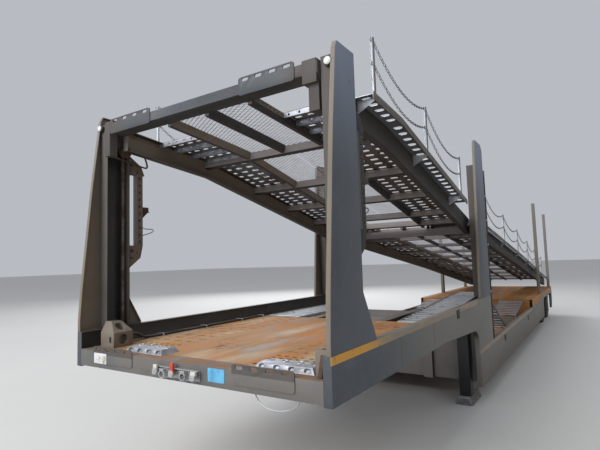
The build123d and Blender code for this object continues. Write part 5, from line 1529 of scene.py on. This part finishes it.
HOSE_RADIUS = 0.011
HOSE_LIE = 1.167 + HOSE_RADIUS + 0.002
HOSE_STEP = 0.027
# Distance aft, y of the first hose, height above where it lies
HOSE_ROUTE = [
    (0.275, -1.103, 0.067), (0.40, -1.103, 0.067), (0.48, -1.118, 0.062), (0.58, -1.150, 0.004),
    (0.72, -1.162, 0), (0.90, -1.150, 0), (1.09, -1.166, 0), (1.30, -1.152, 0), (1.50, -1.168, 0),
    (1.72, -1.158, 0), (1.90, -1.170, 0), (2.10, -1.156, 0), (2.29, -1.164, 0), (2.47, -1.158, 0),
]
HOSE_CLIPS = (0.80, 1.40, 2.00, 2.42)
CLIP_MIDDLE = -1.146
CLIP_HALF = 0.010
CLIP_REACH = HOSE_RADIUS + 0.003
# y of a clip's feet from its middle
CLIP_FEET = ((-0.046, -0.042), (0.042, 0.046))


class TRAILER_OT_hoses(bpy.types.Operator):
    """Lay the hoses along the neck deck's edge, with their clips"""

    bl_idname = "trailer.hoses"
    bl_label = "Hoses"

    def execute(self, context):
        hoses = [
            pipe("hose", [(aft(d), y + shift, HOSE_LIE + rise) for d, y, rise in HOSE_ROUTE], HOSE_RADIUS, 4)
            for shift in (0, HOSE_STEP)
        ]
        finish(joined("deck_hoses", hoses), "black_rubber", replaced=("hose_bundle",), smooth=60)
        strap_low = (-CLIP_HALF, CLIP_FEET[0][0], HOSE_RADIUS)
        strap_high = (CLIP_HALF, CLIP_FEET[1][1], HOSE_RADIUS + 0.004)
        clips = joined("hose_clips", [slab("strap", strap_low, strap_high, 0.0015)] + [
            slab("foot", (-CLIP_HALF, first, -CLIP_REACH), (CLIP_HALF, last, CLIP_REACH), 0.001)
            for first, last in CLIP_FEET
        ])
        repeat(clips, [moved(aft(d), CLIP_MIDDLE, HOSE_LIE) for d in HOSE_CLIPS])
        finish(clips, "zinc_steel")
        return {"FINISHED"}


# Tail

TAIL_FACE = aft(14.07)
TAIL_MIDDLE_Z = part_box("tail_lamps")[0].z / 2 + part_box("tail_lamps")[1].z / 2
# Name, material, start and end of each lens across
LENSES = [
    ("red_lenses", "red_lens", ((0.706, 0.822), (0.826, 0.94))),
    ("amber_lenses", "amber_lens", ((0.944, 1.054),)),
]
# Name, radius, lift off the beam, material
REFLECTORS = [
    ("reflector_frames", 0.082, 0.0, "white_plate"),
    ("reflectors", 0.068, 0.003, "red_lens"),
]
REFLECTOR_Y = 0.52


def tail_block(name, front, rear, low_y, high_y, low, high, soft):
    """A block on the tail beam: distances behind the beam's face, heights from the lamps' middle."""
    low_corner = (TAIL_FACE - rear, low_y, TAIL_MIDDLE_Z + low)
    high_corner = (TAIL_FACE - front, high_y, TAIL_MIDDLE_Z + high)
    return slab(name, low_corner, high_corner, soft)


class TRAILER_OT_tail(bpy.types.Operator):
    """Make the tail lamps with their housings, the reflectors and the number lamp"""

    bl_idname = "trailer.tail"
    bl_label = "Tail"

    def execute(self, context):
        housing = joined("lamp_housings", [
            tail_block("shell", 0, 0.022, 0.70, 1.06, -0.055, 0.055, 0.006),
            rod_y("gland", TAIL_FACE - 0.01, 0.685, 0.71, TAIL_MIDDLE_Z, 0.008, 12, 0.001),
        ])
        finish(both_sides(housing), "black_rubber", replaced=("tail_lamps",))
        for name, material, spans in LENSES:
            lens = joined(name, [
                tail_block(name, 0.018, 0.030, *span, -0.048, 0.048, 0.005) for span in spans
            ])
            finish(both_sides(lens), material)
        for name, radius, lift, material in REFLECTORS:
            plate = rounded(start(name, "cylinder", vertices=3, radius=radius, depth=0.008), 0.004)
            at = moved(TAIL_FACE - 0.004 - lift, REFLECTOR_Y, TAIL_MIDDLE_Z)
            repeat(plate, [at @ turned(math.radians(-90), "Y")])
            finish(both_sides(plate), material)
        plate = joined("number_plate_holder", [
            tail_block("holder", 0, 0.006, -0.27, 0.27, -0.06, 0.06, 0.003),
            tail_block("lamp", 0, 0.028, -0.05, 0.05, 0.062, 0.092, 0.006),
        ])
        finish(plate, "black_steel")
        return {"FINISHED"}


# Under the axle deck

AXLES = (11.97, 13.17)
TANKS = (10.35, 10.80)
TANK_Z = 0.60
TANK_RADIUS = 0.14
STRAP_HALF = 0.018
CHAMBER_Y = 0.24
CHAMBER_Z = 0.47
# The air lines' shared start, then their ends at each axle, with distances ahead of the axle
LINE_START = [(10.80, 0.38, 0.60), (10.95, 0.40, 0.62), (11.2, 0.36, 0.70), (11.6, 0.34, 0.69)]
LINE_END = [(0.35, 0.33, 0.66), (0.25, 0.28, 0.52), (0.22, CHAMBER_Y, CHAMBER_Z)]


def air_tank(x):
    """An air tank with its port."""
    return [
        rod_y("shell", x, -0.36, 0.36, TANK_Z, TANK_RADIUS, 36, 0.03),
        rod_y("port", x, 0.34, 0.40, TANK_Z, 0.02, 8, 0.003),
    ]


def tank_strap(x, y):
    """A strap round an air tank, with its hanger."""
    low, high = y - STRAP_HALF, y + STRAP_HALF
    return [
        rod_y("strap", x, low, high, TANK_Z, TANK_RADIUS + 0.003, 36, 0.001),
        slab("hanger", (x - 0.02, low, 0.70), (x + 0.02, high, 0.80), 0.002),
    ]


def brake_chamber(x):
    """A brake chamber ahead of an axle, with its clamp, push rod and bracket."""
    return [
        rod_x("chamber", x + 0.10, x + 0.22, CHAMBER_Y, CHAMBER_Z, 0.075, 24, 0.015),
        rod_x("clamp", x + 0.155, x + 0.167, CHAMBER_Y, CHAMBER_Z, 0.083, 24, 0.002),
        rod_x("push_rod", x + 0.02, x + 0.11, CHAMBER_Y, CHAMBER_Z, 0.009, 10),
        slab("bracket", (x + 0.04, 0.20, 0.39), (x + 0.105, 0.28, 0.50), 0.004),
    ]


class TRAILER_OT_underside(bpy.types.Operator):
    """Make the air tanks, brake chambers and air lines under the axle deck"""

    bl_idname = "trailer.underside"
    bl_label = "Underside"

    def execute(self, context):
        tanks = joined("air_tanks", [part for d in TANKS for part in air_tank(aft(d))])
        finish(tanks, "black_steel", smooth=50)
        straps = [part for d in TANKS for y in (-0.22, 0.22) for part in tank_strap(aft(d), y)]
        finish(joined("tank_straps", straps), "zinc_steel")
        chambers = joined("brake_chambers", [part for d in AXLES for part in brake_chamber(aft(d))])
        finish(both_sides(chambers), "black_steel")
        lines = joined("air_lines", [
            pipe("line", behind(*LINE_START, *[(axle - ahead, y, z) for ahead, y, z in LINE_END]), 0.006)
            for axle in AXLES
        ])
        finish(lines, "black_rubber")
        return {"FINISHED"}


# Welds, clips, feet's ends and railing caps

# Start and end of a weld on the left side, as distance aft, y and z
WELDS = [
    ((0.005, 1.2685, 1.311), (0.638, 1.2685, 1.311)),
    ((3.972, 1.2685, 1.311), (4.588, 1.2685, 1.311)),
    ((3.974, 1.231, 1.311), (4.586, 1.231, 1.311)),
    ((0.46, 1.262, 1.65), (0.46, 1.262, 3.19)),
]
WELD_STEP = 0.009
WELD_RADIUS = 0.0055
# Heights of the pale clips down the rear guides
GUIDE_CLIPS = (2.73, 2.38, 2.03, 1.70, 1.36)
CLIP_AFT = 4.67
FOOT_MIDDLE = 1.045
FOOT_CORNERS = [(-0.098, 0.004), (0.098, 0.004), (0.071, 0.086), (-0.071, 0.086)]
FOOT_BOLTS = (-0.045, 0.045)


def weld_bead(first, last):
    """A rippled bead of weld between two points."""
    run = Vector(last) - Vector(first)
    count = max(2, int(run.length / WELD_STEP))
    ripple = start("bead", "uv_sphere", segments=6, ring_count=4, radius=WELD_RADIUS)
    return repeat(ripple, [Matrix.Translation(Vector(first) + run * (i + 0.5) / count) for i in range(count)])


class TRAILER_OT_welds(bpy.types.Operator):
    """Lay the weld beads and put the guides' clips, the feet's ends and the railing's caps on"""

    bl_idname = "trailer.welds"
    bl_label = "Welds and small parts"

    def execute(self, context):
        beads = joined("weld_beads", [weld_bead(*behind(*ends)) for ends in WELDS])
        finish(both_sides(beads), "grey_paint", smooth=60)
        guide_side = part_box("rear_guides")[1].y
        clips = joined("guide_clips", [
            slab("clip", (aft(CLIP_AFT + 0.018), guide_side - 0.001, z - 0.012),
                 (aft(CLIP_AFT - 0.018), guide_side + 0.006, z + 0.012), 0.002)
            for z in GUIDE_CLIPS
        ])
        finish(both_sides(clips), "pale_plastic")
        foot_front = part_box("landing_feet")[1].x
        foot_end = repeat(profile("foot_ends", FOOT_CORNERS, 0.0, 0.004, 0.001), [
            moved(foot_front + 0.002, FOOT_MIDDLE, 0) @ turned(math.radians(90), "Z")
        ])
        foot_bolts = repeat(bolt("foot_bolts", 0.010, 0.012), [
            moved(foot_front + 0.004, FOOT_MIDDLE + across, 0.045) @ towards((1, 0, 0))
            for across in FOOT_BOLTS
        ])
        finish(both_sides(joined("foot_ends", [foot_end, foot_bolts])), "foot_grey")
        for name, line, y, posts, rise, body in CHAINS:
            cap = start("cap", "uv_sphere", segments=14, ring_count=8, radius=POST_RADIUS + 0.001)
            eye = start(
                "eye", "torus", major_segments=12, minor_segments=6, major_radius=0.012, minor_radius=0.0035,
                rotation=(math.radians(90), 0, 0),
            )
            feet = [(aft(d), side * y, deck_height(line, d)) for d in posts for side in SIDES]
            caps = repeat(cap, [
                moved(x, across, z + rise - 0.0125) @ sized(1, 1, 0.5) for x, across, z in feet
            ])
            eyes = repeat(eye, [
                moved(x + shift * (POST_RADIUS + 0.006), across, z + rise * share + lift)
                for x, across, z in feet for shift in SIDES for share, lift in CHAIN_LEVELS
            ])
            finish(joined(f"{name}_eyes", [caps, eyes]), "zinc_steel", body, smooth=60)
        return {"FINISHED"}


# Stage

FLOOR_HALF = 150.0
# Name, size, energy, place, aim, colour
LIGHTS = [
    ("key", 14.0, 5000.0, (24, -4, 14), (3, 0, 1), (1, 1, 1)),
    ("side", 14.0, 250.0, (-2, 15, 8), (-2, 0, 1), (1.0, 0.98, 0.95)),
    ("back", 12.0, 1800.0, (-12, -12, 11), (0, 0, 1), (0.95, 0.97, 1.0)),
]


def linked(name, data, matrix):
    """An object with this data and place, in the scene."""
    made = bpy.data.objects.new(name, data)
    made.matrix_world = matrix
    bpy.context.scene.collection.objects.link(made)
    return made


def soft_light(name, size, energy, place_at, aim, colour):
    """A square soft light that looks at a point."""
    lamp = bpy.data.lights.new(name, "AREA")
    lamp.size = size
    lamp.energy = energy
    lamp.color = colour
    linked(name, lamp, Matrix.Translation(place_at) @ towards(Vector(aim) - Vector(place_at), "-Z"))


def camera_turn(yaw, pitch, roll):
    """Turn of a camera that looks back along the trailer."""
    ahead = Vector((-math.cos(pitch) * math.cos(yaw), -math.cos(pitch) * math.sin(yaw), math.sin(pitch)))
    level = ahead.cross(Vector((0, 0, 1))).normalized()
    upright = level.cross(ahead)
    right = level * math.cos(roll) - upright * math.sin(roll)
    up = upright * math.cos(roll) + level * math.sin(roll)
    return Matrix((right, up, -ahead)).transposed().to_4x4()


class TRAILER_OT_stage(bpy.types.Operator):
    """Set up the plain floor, the soft light and the camera"""

    bl_idname = "trailer.stage"
    bl_label = "Stage"

    def execute(self, context):
        scene = context.scene
        stage = scene.trailer_stage
        floor = start("floor", "plane", size=2 * FLOOR_HALF, location=(0, 0, 0))
        coat = Coat("floor_paint", tuple(stage.floor), 0.85)
        coat.layer(clouds(coat.tree, 0.3, 0.7, 0.25, 4.0), tuple(c * 0.97 for c in stage.floor))
        floor.data.materials.append(coat.done(bump=0.02))
        world = bpy.data.worlds.new("even_light")
        world.use_nodes = True
        back = world.node_tree.nodes["Background"]
        back.inputs["Color"].default_value = (*stage.sky, 1)
        back.inputs["Strength"].default_value = stage.sky_strength
        scene.world = world
        for row in LIGHTS:
            soft_light(*row)
        lens = bpy.data.cameras.new("camera")
        lens.lens = stage.lens
        lens.sensor_width = 36.0
        turn = camera_turn(stage.yaw, stage.pitch, stage.roll)
        scene.camera = linked("camera", lens, Matrix.Translation(stage.stand) @ turn)
        scene.view_settings.view_transform = "Standard"
        return {"FINISHED"}


SETTINGS = {"trailer_finish": FinishSettings, "trailer_stage": StageSettings}
OPERATORS = [
    TRAILER_OT_coats, TRAILER_OT_soft_edges, TRAILER_OT_meshes, TRAILER_OT_track_rims, TRAILER_OT_planks,
    TRAILER_OT_chains, TRAILER_OT_wheels, TRAILER_OT_nose, TRAILER_OT_front_posts, TRAILER_OT_lift_screws,
    TRAILER_OT_hoses, TRAILER_OT_tail, TRAILER_OT_underside, TRAILER_OT_welds, TRAILER_OT_stage,
]


class TRAILER_PT_panel(bpy.types.Panel):
    """Lists the steps of the trailer's finish"""

    bl_label = "Trailer"
    bl_idname = "TRAILER_PT_panel"
    bl_space_type = "VIEW_3D"
    bl_region_type = "UI"
    bl_category = "Trailer"

    def draw(self, context):
        for operator in OPERATORS:
            self.layout.operator(operator.bl_idname)
        for name, settings in SETTINGS.items():
            box = self.layout.box()
            for key in settings.__annotations__:
                box.prop(getattr(context.scene, name), key)


def register():
    for name, settings in SETTINGS.items():
        bpy.utils.register_class(settings)
        setattr(bpy.types.Scene, name, bpy.props.PointerProperty(type=settings))
    for operator in OPERATORS:
        bpy.utils.register_class(operator)
    bpy.utils.register_class(TRAILER_PT_panel)


def unregister():
    bpy.utils.unregister_class(TRAILER_PT_panel)
    for operator in reversed(OPERATORS):
        bpy.utils.unregister_class(operator)
    for name, settings in SETTINGS.items():
        delattr(bpy.types.Scene, name)
        bpy.utils.unregister_class(settings)


def run(operator):
    """Calls an operator and stops if it didn't finish."""
    category, name = operator.bl_idname.split(".")
    if getattr(getattr(bpy.ops, category), name)() != {"FINISHED"}:
        raise RuntimeError(f"{operator.bl_label} did not finish")


def main():
    register()
    for operator in OPERATORS:
        run(operator)


if __name__ == "__main__":
    main()
